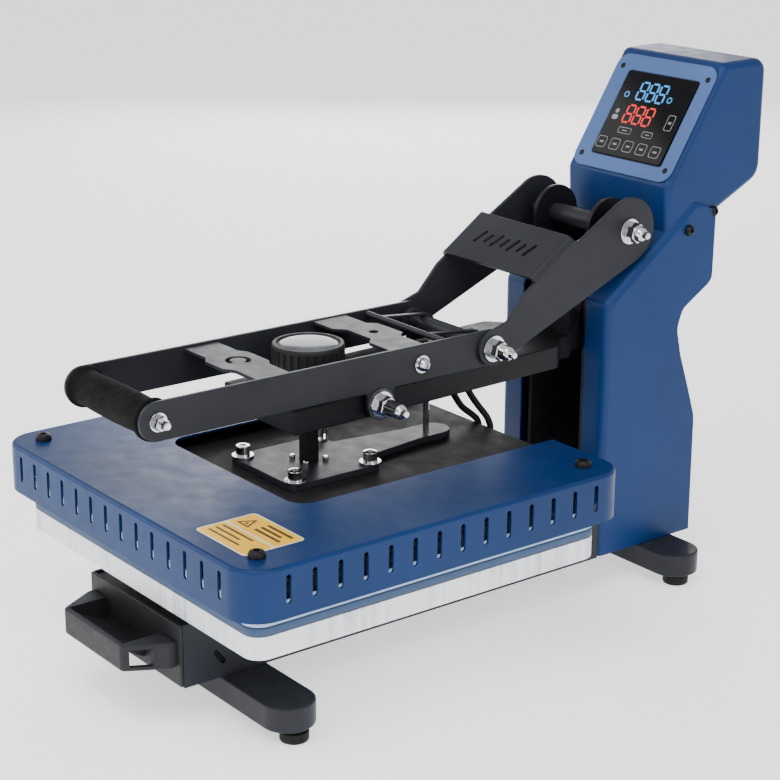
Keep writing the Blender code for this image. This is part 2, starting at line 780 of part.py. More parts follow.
def pressure_knob():
    profile = [
        (28, KNOB_TOP - 2),
        (29.5, KNOB_TOP),
        (32, KNOB_TOP),
        (KNOB_RADIUS, KNOB_TOP - 3),
        (KNOB_RADIUS, KNOB_BASE + 2),
        (KNOB_RADIUS - 2, KNOB_BASE),
        (8, KNOB_BASE),
        (8, 59.5),
        (0, 59.5),
    ]
    return turned("pressure_knob", [(0, KNOB_TOP - 2), *profile], (0, 0, 0), "Z", MOULDED, steps=48)


def knob_cap():
    """The clear disc set in the knob's rim."""
    base = KNOB_TOP - 2 + GAP
    profile = [(0, base + 3.2), (26, base + 2.2), (27.5, base + 1.2), (27.5, base), (0, base)]
    return turned("knob_cap", profile, (0, 0, 0), "Z", LENS, steps=32)


# ---------------------------------------------------------------- handle


def handle_bar(label, side):
    """A flat bar with rounded ends and a lug that drops to the arm's pin."""
    end = (BAR_TOP - BAR_BOTTOM) / 2 - 0.1
    front = GRIP_Y - end
    rear = LINK_PIVOT[0] + end
    lug_y, lug_z = HANDLE_PIVOT
    corners = [
        (front, BAR_TOP, end),
        (rear, BAR_TOP, end),
        (rear, BAR_BOTTOM, end),
        (lug_y + 14, BAR_BOTTOM, 4),
        (lug_y + 14, lug_z - 14, 13.5),
        (lug_y - 14, lug_z - 14, 13.5),
        (lug_y - 14, BAR_BOTTOM, 4),
        (front, BAR_BOTTOM, end),
    ]
    axis_z = (BAR_TOP + BAR_BOTTOM) / 2
    holes = [
        circle((GRIP_Y, axis_z), 4 + GAP),
        circle(HANDLE_PIVOT, PIN_RADIUS + GAP),
    ]
    low, high = spread(side, BAR_INNER, BAR_OUTER)
    return plate(f"handle_bar_{label}", [rounded(corners), *holes], "X", low, high, CHARCOAL)


def mirrored(half):
    """A closed outline from its right half, whose points run from the front middle to the rear middle."""
    return half + [(-x, y) for x, y in half[::-1]]


def front_cross_plate():
    reach = BAR_INNER - GAP
    half = [(14, -101.5), (24, -95), (reach, -95), (reach, -59.5), (26, -59.5), (16, -54)]
    slot = arc((0, -76), 11.5, 15, 290) + arc((0, -76), 7.5, 290, 15)
    return plate("front_cross_plate", [mirrored(half), slot], "Z", 107.6, 110.6, CHARCOAL)


def rear_cross_plate():
    reach = BAR_INNER - GAP
    half = [(18, 57), (28, 48), (reach, 48), (reach, 86), (26, 86), (19, 94)]
    return plate("rear_cross_plate", [mirrored(half), circle((2, 73), 4.5)], "Z", 108.5, 111.5, CHARCOAL)


def grip():
    axis_z = (BAR_TOP + BAR_BOTTOM) / 2
    reach = BAR_INNER - GAP
    side = [(GRIP_FLANGE, reach), (GRIP_FLANGE, reach - 6), (GRIP_RADIUS, reach - 10)]
    profile = [(5 + GAP, reach), *side, *[(r, -x) for r, x in side[::-1]], (5 + GAP, -reach)]
    return turned("handle_grip", profile, (0, GRIP_Y, axis_z), "X", FOAM, closed=True)


def grip_rod():
    axis_z = (BAR_TOP + BAR_BOTTOM) / 2
    start = BAR_OUTER + GAP
    half = [(0, start + 15), (4, start + 14.5), (4, start + 8), (6.5, start + 7), (6.5, start + 1.6)]
    half += [(8.5, start + 1.6), (8.5, start)]
    half += [(4, start), (4, BAR_INNER - GAP), (5, BAR_INNER - GAP)]
    profile = half + [(radius, -height) for radius, height in half[::-1]]
    return turned("grip_rod", profile, (0, GRIP_Y, axis_z), "X", CHROME, steps=16)


def side_profile(profile, side):
    """A profile down the outer side for an axis along X, turned round for the left side."""
    return profile if side > 0 else [(radius, -height) for radius, height in profile[::-1]]


def bar_bolt(label, side):
    start = BAR_OUTER + GAP
    profile = [(0, start + 6.5), (4, start + 6), (6, start + 4), (6, start + 1.5)]
    profile += [(8, start + 1.5), (8, start), (0, start)]
    return turned(f"bar_bolt_{label}", side_profile(profile, side), (0, 80.5, 94.2), "X", CHROME, steps=16)


def build_handle():
    pieces = [front_cross_plate(), rear_cross_plate(), grip(), grip_rod()]
    for label, side in SIDES:
        pieces.append(handle_bar(label, side))
        pieces.append(bar_bolt(label, side))
    hang(axis_empty("handle_axis", (0, *HANDLE_PIVOT)), *pieces)


# ---------------------------------------------------------------- yoke


def yoke_side(name, side):
    reach = hypot(HEAD_PIVOT[0] - LINK_PIVOT[0], HEAD_PIVOT[1] - LINK_PIVOT[1])
    toward = degrees(atan2(LINK_PIVOT[1] - HEAD_PIVOT[1], LINK_PIVOT[0] - HEAD_PIVOT[0]))
    touch = toward + degrees(acos((YOKE_HEAD_RADIUS - YOKE_TIP_RADIUS) / reach))
    outline = arc(HEAD_PIVOT, YOKE_HEAD_RADIUS, touch, 128)
    outline += [(268.0, 181.5), (262.0, 182.0), BRIDGE_REAR, BRIDGE_FRONT, (197.0, 137.0), (180.0, 118.0)]
    outline += arc(LINK_PIVOT, YOKE_TIP_RADIUS, 100, touch + 360)
    holes = [circle(HEAD_PIVOT, 8 + GAP), circle(LINK_PIVOT, 6 + GAP)]
    low, high = spread(side, YOKE_INNER, YOKE_OUTER)
    return plate(name, [outline, *holes], "X", low, high, CHARCOAL)


def yoke():
    """The two side plates and the sloped bridge plate that joins them."""
    made = yoke_side("yoke", 1)
    bridge = ribbon([BRIDGE_FRONT, BRIDGE_REAR], -4.0)
    middle = plate("yoke_bridge", [bridge], "X", -YOKE_OUTER + 1, YOKE_OUTER - 1)
    join(made, middle, yoke_side("yoke_left_side", -1))
    return made


def link_bolt(label, side):
    """The stub bolt in the yoke's lower end. It stops short of the handle's bar: that pivot is left open."""
    start = YOKE_OUTER + GAP
    profile = [*pin_end(start, LINK_TIP), (6, start), (6, YOKE_INNER), (0, YOKE_INNER)]
    return turned(f"link_bolt_{label}", side_profile(profile, side), (0, *LINK_PIVOT), "X", CHROME)


def build_yoke():
    pieces = [yoke()] + [link_bolt(label, side) for label, side in SIDES]
    hang(axis_empty("yoke_axis", (0, *HEAD_PIVOT)), *pieces)


# ---------------------------------------------------------------- drawer


def drawer_front():
    outline = rectangle(-CHANNEL_HALF, CHANNEL_HALF, BEAM_TOP + GAP + 1.7, CHANNEL_TOP)
    return plate("drawer_front", [outline], "Y", DRAWER_FACE, DRAWER_FACE + 3, MOULDED)


def drawer_pull():
    """The moulded pull: a shell with a scoop sloping to the rear, and a window in each slanted end."""
    back = DRAWER_FACE - GAP
    wall = 4.0
    wide = PULL_REAR_HALF
    outer = [(-wide, back, 0), (-wide, back - 7, 5), (-PULL_HALF, PULL_FRONT, 6)]
    outer += [(-x, y, radius) for x, y, radius in outer[::-1]]
    made = plate("drawer_pull", [rounded(outer)], "Z", PULL_BOTTOM, PULL_TOP, MOULDED)
    front = PULL_FRONT + wall
    scoop = [(front, 0), (front, PULL_TOP - 1), (back + 1, PULL_BOTTOM + 3), (back + 1, 0)]
    half = PULL_HALF - 3
    cut(made, plate("pull_scoop", [scoop], "X", -half, half, home=CUTTERS))
    inner = [(-wide + wall, back - wall), (-half, front), (half, front), (wide - wall, back - wall)]
    hollow = plate("pull_hollow", [inner], "Z", -200, 0, home=CUTTERS)
    below = [(front, -200), (front, PULL_TOP - 5), (back - wall, PULL_BOTTOM + 1), (back - wall, -200)]
    combine(hollow, plate("pull_below_scoop", [below], "X", -90, 90, home=CUTTERS), "INTERSECT")
    cut(made, hollow)
    for label, side in SIDES:
        window = rectangle(front + 2, front + 20, PULL_BOTTOM + 4, PULL_TOP - 5)
        cut(made, plate(f"pull_window_{label}", [window], "X", *spread(side, half + 1, 90), home=CUTTERS))
    return made


def drawer_carriage():
    """The sliding sled: a channel open underneath, with the block that carries the lower platen."""
    half = CHANNEL_HALF - CHANNEL_WALL - 2 * GAP
    floor = BEAM_TOP + GAP + CHANNEL_WALL + 2 * GAP
    top = CHANNEL_TOP - 2
    length = (DRAWER_FACE + 3 + GAP, 190.0)
    made = block("drawer_carriage", (-half, half), length, (floor, top), BLACK_STEEL)
    hollow = block("carriage_hollow", (-half + 3, half - 3), (-300, 300), (floor - 9, top - 3), home=CUTTERS)
    cut(made, hollow)
    join(made, block("platen_block", (-60, 60), (-90, 90), (top - 1, PLATEN_BOTTOM - GAP)))
    return made


def build_drawer():
    pieces = [
        drawer_front(),
        drawer_pull(),
        drawer_carriage(),
        square_plate("lower_platen", PLATEN_BOTTOM, PAD_BOTTOM - GAP, ALUMINIUM),
        square_plate("silicone_pad", PAD_BOTTOM, HOT_PLATEN_BOTTOM - GAP, SILICONE),
    ]
    hang(axis_empty("drawer_axis", (0, DRAWER_FACE, CHANNEL_TOP)), *pieces)


build_base()
build_column()
power_inlet()
switch_housing()
switch_rocker()
build_arm()
build_heater()
hang(axis_empty("knob_axis", (0, 0, KNOB_BASE)), pressure_knob(), knob_cap())
build_handle()
build_yoke()
build_drawer()
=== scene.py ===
"""Looks for the heat press: camera, light, materials, and detailed pieces that stand for plainer CAD nodes.

Sizes are in millimetres from the press point, which is worked out from the frame: the middle of the heating
platen in X and Y, at the height of the tops of the cover's slots. +X is the operator's right, -Y the front and
+Z up.
"""

import json
from math import acos, atan2, cos, degrees, hypot, pi, radians, sin

import bmesh
import bpy
from mathutils import Matrix, Vector

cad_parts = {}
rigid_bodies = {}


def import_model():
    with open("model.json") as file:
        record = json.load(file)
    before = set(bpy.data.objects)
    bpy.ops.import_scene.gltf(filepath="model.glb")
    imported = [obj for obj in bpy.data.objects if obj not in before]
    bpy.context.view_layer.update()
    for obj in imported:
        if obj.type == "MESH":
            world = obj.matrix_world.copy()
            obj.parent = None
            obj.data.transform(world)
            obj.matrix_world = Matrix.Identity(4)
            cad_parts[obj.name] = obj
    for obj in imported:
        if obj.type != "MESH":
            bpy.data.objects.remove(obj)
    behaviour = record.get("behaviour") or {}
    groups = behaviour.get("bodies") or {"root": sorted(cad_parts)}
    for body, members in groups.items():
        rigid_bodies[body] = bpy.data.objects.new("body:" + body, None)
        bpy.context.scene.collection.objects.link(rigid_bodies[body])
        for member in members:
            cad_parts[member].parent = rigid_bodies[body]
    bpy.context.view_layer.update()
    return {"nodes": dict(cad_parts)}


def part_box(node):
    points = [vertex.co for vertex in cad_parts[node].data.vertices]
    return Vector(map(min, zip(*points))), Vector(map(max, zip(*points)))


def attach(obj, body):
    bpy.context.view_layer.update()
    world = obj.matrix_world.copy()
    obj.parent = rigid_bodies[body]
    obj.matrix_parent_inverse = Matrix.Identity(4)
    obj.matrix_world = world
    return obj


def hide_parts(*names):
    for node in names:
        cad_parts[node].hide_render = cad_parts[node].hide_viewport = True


for startup in list(bpy.data.objects):
    bpy.data.objects.remove(startup, do_unlink=True)

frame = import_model()

MM = 0.001
GAP = 0.3
PLATEN_TOP = -30.0
PLATEN_LOW, PLATEN_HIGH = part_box("heat_platen")
PRESS_POINT = Vector(((PLATEN_LOW.x + PLATEN_HIGH.x) / 2, (PLATEN_LOW.y + PLATEN_HIGH.y) / 2,
                      PLATEN_HIGH.z - PLATEN_TOP * MM))
SIDES = (("left", -1), ("right", 1))


def place(point):
    """A point in millimetres from the press point, in the frame."""
    return PRESS_POINT + Vector(point) * MM


# ---------------------------------------------------------------- materials


class Nodes:
    """Short calls for building one material's node tree."""

    def __init__(self, name):
        self.material = bpy.data.materials.new(name)
        self.material.use_nodes = True
        self.tree = self.material.node_tree
        self.shader = self.tree.nodes["Principled BSDF"]
        self.place = self.add("ShaderNodeTexCoord").outputs["Object"]

    def add(self, kind, **settings):
        node = self.tree.nodes.new(kind)
        for key, value in settings.items():
            if hasattr(node, key):
                setattr(node, key, value)
            else:
                node.inputs[key].default_value = value
        return node

    def link(self, output, target):
        self.tree.links.new(output, target)

    def stretched(self, scale):
        node = self.add("ShaderNodeMapping")
        node.inputs["Scale"].default_value = scale
        self.link(self.place, node.inputs["Vector"])
        return node.outputs["Vector"]

    def noise(self, scale, detail=2.0, stretch=None):
        node = self.add("ShaderNodeTexNoise", Scale=scale, Detail=detail)
        self.link(self.stretched(stretch) if stretch else self.place, node.inputs["Vector"])
        return node.outputs["Fac"]

    def ramp(self, source, dark, light, ends=(0.3, 0.7)):
        """Runs from dark to light as the source rises from one end to the other."""
        node = self.add("ShaderNodeValToRGB")
        for stop, at, colour in zip(node.color_ramp.elements, ends, (dark, light)):
            stop.position = at
            stop.color = (*colour, 1.0)
        self.link(source, node.inputs["Fac"])
        return node.outputs["Color"]

    def spread(self, source, low, high):
        """Maps the middle of a noise to the range from low to high."""
        node = self.add("ShaderNodeMapRange")
        for key, value in (("From Min", 0.3), ("From Max", 0.7), ("To Min", low), ("To Max", high)):
            node.inputs[key].default_value = value
        self.link(source, node.inputs["Value"])
        return node.outputs["Result"]

    def colour(self, source, dark, light, ends=(0.3, 0.7)):
        self.link(self.ramp(source, dark, light, ends), self.shader.inputs["Base Color"])

    def roughness(self, source, limits):
        self.link(self.spread(source, *limits), self.shader.inputs["Roughness"])

    def bumps(self, *layers):
        """Adds height layers, each (source, strength, distance in metres), to the shader's normal."""
        last = None
        for source, strength, distance in layers:
            node = self.add("ShaderNodeBump", Strength=strength, Distance=distance)
            self.link(source, node.inputs["Height"])
            if last:
                self.link(last, node.inputs["Normal"])
            last = node.outputs["Normal"]
        self.link(last, self.shader.inputs["Normal"])

    def set(self, **values):
        for key, value in values.items():
            self.shader.inputs[key.replace("_", " ")].default_value = value


def powder_coat(name, dark, light, rough, grain=1500.0, relief=0.10, level=0.16):
    """Baked powder paint: slow colour drift, a fine orange-peel relief and a little dust in the roughness."""
    made = Nodes(name)
    made.colour(made.noise(7.0, 3.0), dark, light, (0.35, 0.65))
    made.roughness(made.noise(60.0, 4.0), rough)
    made.bumps((made.noise(grain), relief, 0.0002), (made.noise(grain * 0.22, 1.0), relief * 0.5, 0.0004))
    made.set(Specular_IOR_Level=level)
    return made.material


def moulded(name, dark, light, rough, grain=900.0, relief=0.25, level=0.2):
    """Moulded plastic or rubber with a fine spark-eroded grain."""
    made = Nodes(name)
    made.colour(made.noise(25.0, 4.0), dark, light, (0.35, 0.65))
    made.roughness(made.noise(140.0, 3.0), rough)
    pits = made.add("ShaderNodeTexVoronoi", Scale=grain)
    made.link(made.place, pits.inputs["Vector"])
    made.bumps((pits.outputs["Distance"], relief, 0.0002), (made.noise(grain * 0.4), relief * 0.4, 0.0003))
    made.set(Specular_IOR_Level=level)
    return made.material


def plating(name, dark, light, rough):
    """Bright plated steel with faint turning marks and handling haze."""
    made = Nodes(name)
    made.set(Metallic=1.0)
    made.colour(made.noise(90.0, 5.0), dark, light)
    made.roughness(made.noise(220.0, 4.0), rough)
    made.bumps((made.noise(500.0, 3.0, (6.0, 1.0, 1.0)), 0.05, 0.0001))
    return made.material


def sawn_aluminium(name, dark, light, rough, metallic=0.85):
    """Raw plate aluminium: upright saw marks of uneven width, cloudy oxide patches and small scratches."""
    made = Nodes(name)
    made.set(Metallic=metallic)
    marks = made.noise(26.0, 6.0, (5.0, 5.0, 0.15))
    clouds = made.noise(14.0, 5.0)
    blend = made.add("ShaderNodeMix", data_type="FLOAT", Factor=0.5)
    made.link(marks, blend.inputs[2])
    made.link(clouds, blend.inputs[3])
    made.colour(blend.outputs[0], dark, light, (0.34, 0.5))
    made.roughness(blend.outputs[0], rough)
    fine = made.noise(200.0, 4.0, (4.0, 4.0, 0.1))
    made.bumps((fine, 0.25, 0.0003), (marks, 0.3, 0.0006))
    return made.material


def glowing(name, colour, strength):
    """A lit segment behind dark glass, a little uneven as its diodes are."""
    made = Nodes(name)
    dim = tuple(channel * 0.6 for channel in colour)
    lit = made.ramp(made.noise(900.0, 1.0), dim, colour)
    made.link(lit, made.shader.inputs["Emission Color"])
    made.link(lit, made.shader.inputs["Base Color"])
    made.set(Emission_Strength=strength, Roughness=0.4)
    return made.material


def printed(name, dark, light, rough=(0.3, 0.45), level=0.3):
    """Printed film or ink."""
    made = Nodes(name)
    made.set(Specular_IOR_Level=level)
    made.colour(made.noise(60.0, 4.0), dark, light)
    made.roughness(made.noise(200.0, 3.0), rough)
    made.bumps((made.noise(700.0, 2.0), 0.08, 0.0002))
    return made.material


BLUE = powder_coat("blue_powder_coat", (0.0016, 0.021, 0.094), (0.0026, 0.027, 0.115), (0.34, 0.44),
                   level=0.2)
BLUE_PANEL = powder_coat("pale_blue_panel", (0.060, 0.11, 0.27), (0.074, 0.13, 0.31), (0.42, 0.52))
CHARCOAL = powder_coat("charcoal_powder_coat", (0.016, 0.017, 0.022), (0.023, 0.025, 0.031), (0.34, 0.46),
                       relief=0.14)
BLACK_COAT = powder_coat("black_powder_coat", (0.006, 0.006, 0.008), (0.010, 0.010, 0.013), (0.40, 0.52),
                         relief=0.14)
HOT_BLACK = powder_coat("insulation_black", (0.008, 0.0075, 0.008), (0.014, 0.013, 0.014), (0.55, 0.7),
                        relief=0.2)
PLASTIC = moulded("charcoal_plastic", (0.013, 0.014, 0.016), (0.019, 0.020, 0.023), (0.42, 0.55))
BLACK_PLASTIC = moulded("black_plastic", (0.004, 0.004, 0.005), (0.008, 0.008, 0.009), (0.3, 0.45))
RUBBER = moulded("black_rubber", (0.004, 0.004, 0.005), (0.008, 0.008, 0.009), (0.5, 0.7))
FOAM = moulded("foam_grip", (0.003, 0.003, 0.003), (0.007, 0.007, 0.007), (0.7, 0.88),
               grain=1400.0, relief=0.5, level=0.08)
CHROME = plating("bright_plating", (0.50, 0.50, 0.52), (0.78, 0.78, 0.80), (0.05, 0.16))
DARK_STEEL = plating("oiled_steel", (0.05, 0.05, 0.06), (0.09, 0.09, 0.10), (0.28, 0.45))
ALUMINIUM = sawn_aluminium("sawn_aluminium", (0.50, 0.55, 0.62), (0.86, 0.88, 0.91), (0.35, 0.55),
                           metallic=0.45)
# The heating platen's edge is the same raw aluminium. Its darker, bluer colour is painted shade from the
# cover's overhang and a painted blue reflection of the cover.
PLATEN_EDGE_PAINTED_SHADE_AND_REFLECTION = sawn_aluminium("platen_edge_painted_shade_and_reflection", (0.20, 0.33, 0.47), (0.33, 0.47, 0.63), (0.3, 0.45),
                               metallic=0.3)
SILICONE = moulded("blue_grey_silicone", (0.050, 0.088, 0.172), (0.059, 0.101, 0.19), (0.45, 0.6),
                   grain=500.0, relief=0.1)
GLASS = printed("black_glass", (0.001, 0.0012, 0.0015), (0.002, 0.0023, 0.003), (0.05, 0.10), level=0.12)
LENS = printed("clear_cap", (0.060, 0.063, 0.070), (0.13, 0.135, 0.145), (0.06, 0.14), level=0.12)
LABEL = printed("amber_label", (0.82, 0.44, 0.008), (0.92, 0.54, 0.02), level=0.1)
LABEL_EDGE = printed("label_border", (0.66, 0.60, 0.42), (0.76, 0.70, 0.52))
INK = printed("dark_ink", (0.05, 0.02, 0.008), (0.09, 0.04, 0.015), level=0.1)
WHITE_INK = printed("pale_ink", (0.14, 0.145, 0.155), (0.24, 0.245, 0.26))
BLUE_LIGHT = glowing("blue_segments", (0.03, 0.25, 0.62), 0.8)
RED_LIGHT = glowing("red_segments", (0.70, 0.012, 0.01), 0.8)
RED = moulded("red_switch", (0.42, 0.015, 0.015), (0.52, 0.03, 0.025), (0.25, 0.35))


# ---------------------------------------------------------------- outlines


def arc(centre, radius, start, end, step=7.5):
    steps = max(1, round(abs(end - start) / step))
    angles = [radians(start + (end - start) * i / steps) for i in range(steps + 1)]
    return [(centre[0] + radius * cos(a), centre[1] + radius * sin(a)) for a in angles]


def circle(centre, radius, sides=48, phase=0.0):
    turns = [phase + 2 * pi * i / sides for i in range(sides)]
    return [(centre[0] + radius * cos(a), centre[1] + radius * sin(a)) for a in turns]


def rounded(corners):
    """A closed outline from (u, v, radius) corners: each corner with a radius becomes an arc."""
    points = []
    count = len(corners)
    for index, (u, v, radius) in enumerate(corners):
        here = Vector((u, v))
        if radius <= 0:
            points.append((u, v))
            continue
        back = (Vector(corners[index - 1][:2]) - here).normalized()
        ahead = (Vector(corners[(index + 1) % count][:2]) - here).normalized()
        half = back.angle(ahead) / 2
        centre = here + (back + ahead).normalized() * (radius / sin(half))
        first = here + back * (radius * cos(half) / sin(half)) - centre
        turn = first.angle_signed(here + ahead * (radius * cos(half) / sin(half)) - centre)
        steps = max(2, round(abs(degrees(turn)) / 9))
        for i in range(steps + 1):
            points.append(tuple(centre + Matrix.Rotation(-turn * i / steps, 2) @ first))
    return points


def rectangle(u0, u1, v0, v1, radius=0.0):
    return rounded([(u0, v0, radius), (u1, v0, radius), (u1, v1, radius), (u0, v1, radius)])


def obround(u, v0, v1, width):
    """An upright slot with round ends."""
    half = width / 2
    return arc((u, v0 + half), half, 180, 360, 30) + arc((u, v1 - half), half, 0, 180, 30)


def ribbon(path, thickness):
    """The closed outline of a sheet that is bent along path, with its thickness on the path's left."""
    inner = []
    for index, point in enumerate(path):
        here = Vector(point)
        sides = []
        if index > 0:
            step = (here - Vector(path[index - 1])).normalized()
            sides.append(Vector((-step.y, step.x)))
        if index < len(path) - 1:
            step = (Vector(path[index + 1]) - here).normalized()
            sides.append(Vector((-step.y, step.x)))
        middle = sum(sides, Vector((0, 0))).normalized()
        inner.append(tuple(here + middle * (thickness / middle.dot(sides[0]))))
    return list(path) + inner[::-1]


def mirrored(half):
    """A closed outline from its right half, whose points run from the front middle to the rear middle."""
    return half + [(-x, y) for x, y in half[::-1]]


def spread(side, inner, outer):
    """The X limits of a piece between two distances from the middle, on the side -1 or 1."""
    return (inner, outer) if side > 0 else (-outer, -inner)


# ---------------------------------------------------------------- pieces

PLATE_FRAMES = {
    "X": Matrix(((0, 0, 1), (1, 0, 0), (0, 1, 0))),
    "Y": Matrix(((1, 0, 0), (0, 0, -1), (0, 1, 0))),
    "Z": Matrix.Identity(3),
}


SMOOTH_ANGLE = 35


def show(name, data):
    """A new object in the scene."""
    made = bpy.data.objects.new(name, data)
    bpy.context.scene.collection.objects.link(made)
    return made


def adopt(name, mesh, look, smooth=SMOOTH_ANGLE):
    made = show(name, mesh)
    if look:
        mesh.materials.clear()
        mesh.materials.append(look)
    if smooth:
        mesh.shade_smooth()
        mesh.set_sharp_from_angle(angle=radians(smooth))
    return made


def mesh_of_curve(name, curve):
    guide = show(name + "_guide", curve)
    graph = bpy.context.evaluated_depsgraph_get()
    mesh = bpy.data.meshes.new_from_object(guide.evaluated_get(graph))
    bpy.data.objects.remove(guide, do_unlink=True)
    bpy.data.curves.remove(curve)
    weld = bmesh.new()
    weld.from_mesh(mesh)
    bmesh.ops.remove_doubles(weld, verts=weld.verts, dist=0.002 * MM)
    bmesh.ops.recalc_face_normals(weld, faces=weld.faces)
    weld.to_mesh(mesh)
    weld.free()
    mesh.name = name
    return mesh


def plate(name, loops, normal, low, high, look=None, edge=0.0, steps=2):
    """A plate from closed outlines, the first its edge and the others holes, with rounded edges."""
    curve = bpy.data.curves.new(name, "CURVE")
    curve.dimensions = "2D"
    curve.fill_mode = "BOTH"
    curve.extrude = ((high - low) / 2 - edge) * MM
    curve.bevel_depth = edge * MM
    curve.bevel_resolution = steps
    curve.offset = -edge * MM
    for loop in loops:
        spline = curve.splines.new("POLY")
        spline.points.add(len(loop) - 1)
        spline.use_cyclic_u = True
        for point, (u, v) in zip(spline.points, loop):
            point.co = (u * MM, v * MM, 0, 1)
    mesh = mesh_of_curve(name, curve)
    turn = PLATE_FRAMES[normal]
    middle = (low + high) / 2 if normal != "Y" else -(low + high) / 2
    mesh.transform(Matrix.Translation(place(turn @ Vector((0, 0, middle)))) @ turn.to_4x4())
    return adopt(name, mesh, look)


AXIS_TURNS = {
    "X": Matrix.Rotation(pi / 2, 4, "Y"),
    "Y": Matrix.Rotation(-pi / 2, 4, "X"),
    "Z": Matrix.Identity(4),
}


def turned(name, profile, centre, axis, look, steps=48, side=1, flutes=0, flute_depth=0.0, flute_zone=None):
    """A turned piece: (radius, height) points down its outer side, spun about axis through centre."""
    shape = bmesh.new()
    rings = []
    for radius, height in profile:
        if radius <= 0:
            rings.append([shape.verts.new((0, 0, side * height * MM))])
            continue
        ring = []
        for i in range(steps):
            angle = 2 * pi * i / steps
            reach = radius
            if flutes and flute_zone[0] <= height <= flute_zone[1]:
                reach -= flute_depth * max(0.0, sin(flutes * angle)) ** 0.6
            spot = (reach * cos(angle) * MM, reach * sin(angle) * MM, side * height * MM)
            ring.append(shape.verts.new(spot))
        rings.append(ring)
    for upper, lower in zip(rings, rings[1:]):
        for i in range(steps):
            corners = [upper[i % len(upper)], lower[i % len(lower)]]
            corners += [lower[(i + 1) % len(lower)], upper[(i + 1) % len(upper)]]
            corners = list(dict.fromkeys(corners))
            if len(corners) > 2:
                shape.faces.new(corners)
    bmesh.ops.recalc_face_normals(shape, faces=shape.faces)
    mesh = bpy.data.meshes.new(name)
    shape.to_mesh(mesh)
    shape.free()
    mesh.transform(Matrix.Translation(place(centre)) @ AXIS_TURNS[axis])
    return adopt(name, mesh, look)


def crosswise(name, profile, spot, look, steps=48, side=1):
    """A turned piece about an axis across the press, through the (y, z) spot."""
    return turned(name, profile, (0, *spot), "X", look, steps, side)


def to_origin(made):
    """Moves a piece drawn round the press point to the frame's origin, ready to be turned into place."""
    made.data.transform(Matrix.Translation(-place((0, 0, 0))))
    return made


def apply_all(made):
    graph = bpy.context.evaluated_depsgraph_get()
    mesh = bpy.data.meshes.new_from_object(made.evaluated_get(graph))
    made.modifiers.clear()
    made.data = mesh
    mesh.shade_smooth()
    mesh.set_sharp_from_angle(angle=radians(SMOOTH_ANGLE))
    return made


def combine(target, tools, operation):
    for tool in tools:
        modifier = target.modifiers.new(tool.name, "BOOLEAN")
        modifier.object = tool
        modifier.operation = operation
        modifier.solver = "EXACT"
        modifier.material_mode = "INDEX"
    apply_all(target)
    for tool in tools:
        bpy.data.objects.remove(tool, do_unlink=True)
    return target


def cut(target, *tools):
    return combine(target, tools, "DIFFERENCE")


def join(target, *tools):
    return combine(target, tools, "UNION")


def gather(name, pieces, look=None):
    """Several loose shells as one piece, which keeps each one's own material."""
    shape = bmesh.new()
    looks = []
    for piece in pieces:
        own = piece.data.materials[0] if piece.data.materials else look
        if own not in looks:
            looks.append(own)
        start = len(shape.faces)
        shape.from_mesh(piece.data)
        shape.faces.ensure_lookup_table()
        for face in shape.faces[start:]:
            face.material_index = looks.index(own)
    mesh = bpy.data.meshes.new(name)
    shape.to_mesh(mesh)
    shape.free()
    for piece in pieces:
        bpy.data.objects.remove(piece, do_unlink=True)
    made = adopt(name, mesh, None)
    for own in looks:
        mesh.materials.append(own)
    return made


def even_normals(made):
    """Weights each normal by its faces' areas, so that flat faces shade flat up to their rounded edges."""
    made.modifiers.new("normals", "WEIGHTED_NORMAL").keep_sharp = True
    graph = bpy.context.evaluated_depsgraph_get()
    mesh = bpy.data.meshes.new_from_object(made.evaluated_get(graph), depsgraph=graph)
    made.modifiers.clear()
    made.data = mesh


def fit(made, body, slot, *nodes):
    """Rides the piece on its body, and lets it stand for the named CAD nodes."""
    if made.type == "MESH":
        even_normals(made)
    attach(made, body)
    if nodes:
        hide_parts(*nodes)
    return made


def tube(name, route, radius, look):
    """A round cord along a smooth curve through the route."""
    curve = bpy.data.curves.new(name, "CURVE")
    curve.dimensions = "3D"
    curve.bevel_depth = radius * MM
    curve.bevel_resolution = 4
    curve.use_fill_caps = True
    spline = curve.splines.new("POLY")
    spline.points.add(len(route) - 1)
    for point, spot in zip(spline.points, route):
        point.co = (*place(spot), 1)
    made = show(name, curve)
    curve.materials.append(look)
    return made


# ---------------------------------------------------------------- camera, light, floor

VIEW_AZIMUTH = radians(52.205)
VIEW_ELEVATION = radians(17.845)
VIEW_ROLL = radians(0.356)
VIEW_FROM = (1408.6, -998.3, 624.0)
VIEW_LENS = 91.69
FILM_WIDTH = 36.0

# Each light's name, place, aim and size in metres, and power in watts.
LIGHTS = (
    ("key", (0.6, -1.0, 2.2), (0, 0, 0.15), (1.6, 1.2), 32),
    ("left_fill", (-1.8, -1.2, 1.2), (0, 0, 0.2), (1.4, 1.4), 16),
    ("right_strip", (2.1, -0.2, 1.1), (0, 0.1, 0.25), (0.8, 1.6), 14),
    ("rear_left", (-2.2, 1.7, 0.9), (0, 0, 0.2), (1.4, 1.2), 24),
    ("front_low", (0.3, -2.2, 0.35), (0, -0.2, 0.1), (1.4, 0.5), 8),
)


def make_camera():
    data = bpy.data.cameras.new("camera")
    data.lens = VIEW_LENS
    data.sensor_width = FILM_WIDTH
    data.clip_start = 0.05
    camera = show("camera", data)
    flat = cos(VIEW_ELEVATION)
    back = Vector((sin(VIEW_AZIMUTH) * flat, -cos(VIEW_AZIMUTH) * flat, sin(VIEW_ELEVATION)))
    right = Vector((0, 0, 1)).cross(back).normalized()
    up = back.cross(right)
    turned_right = right * cos(VIEW_ROLL) + up * sin(VIEW_ROLL)
    turned_up = up * cos(VIEW_ROLL) - right * sin(VIEW_ROLL)
    axes = Matrix((turned_right, turned_up, back)).transposed()
    camera.matrix_world = Matrix.Translation(place(VIEW_FROM)) @ axes.to_4x4()
    bpy.context.scene.camera = camera


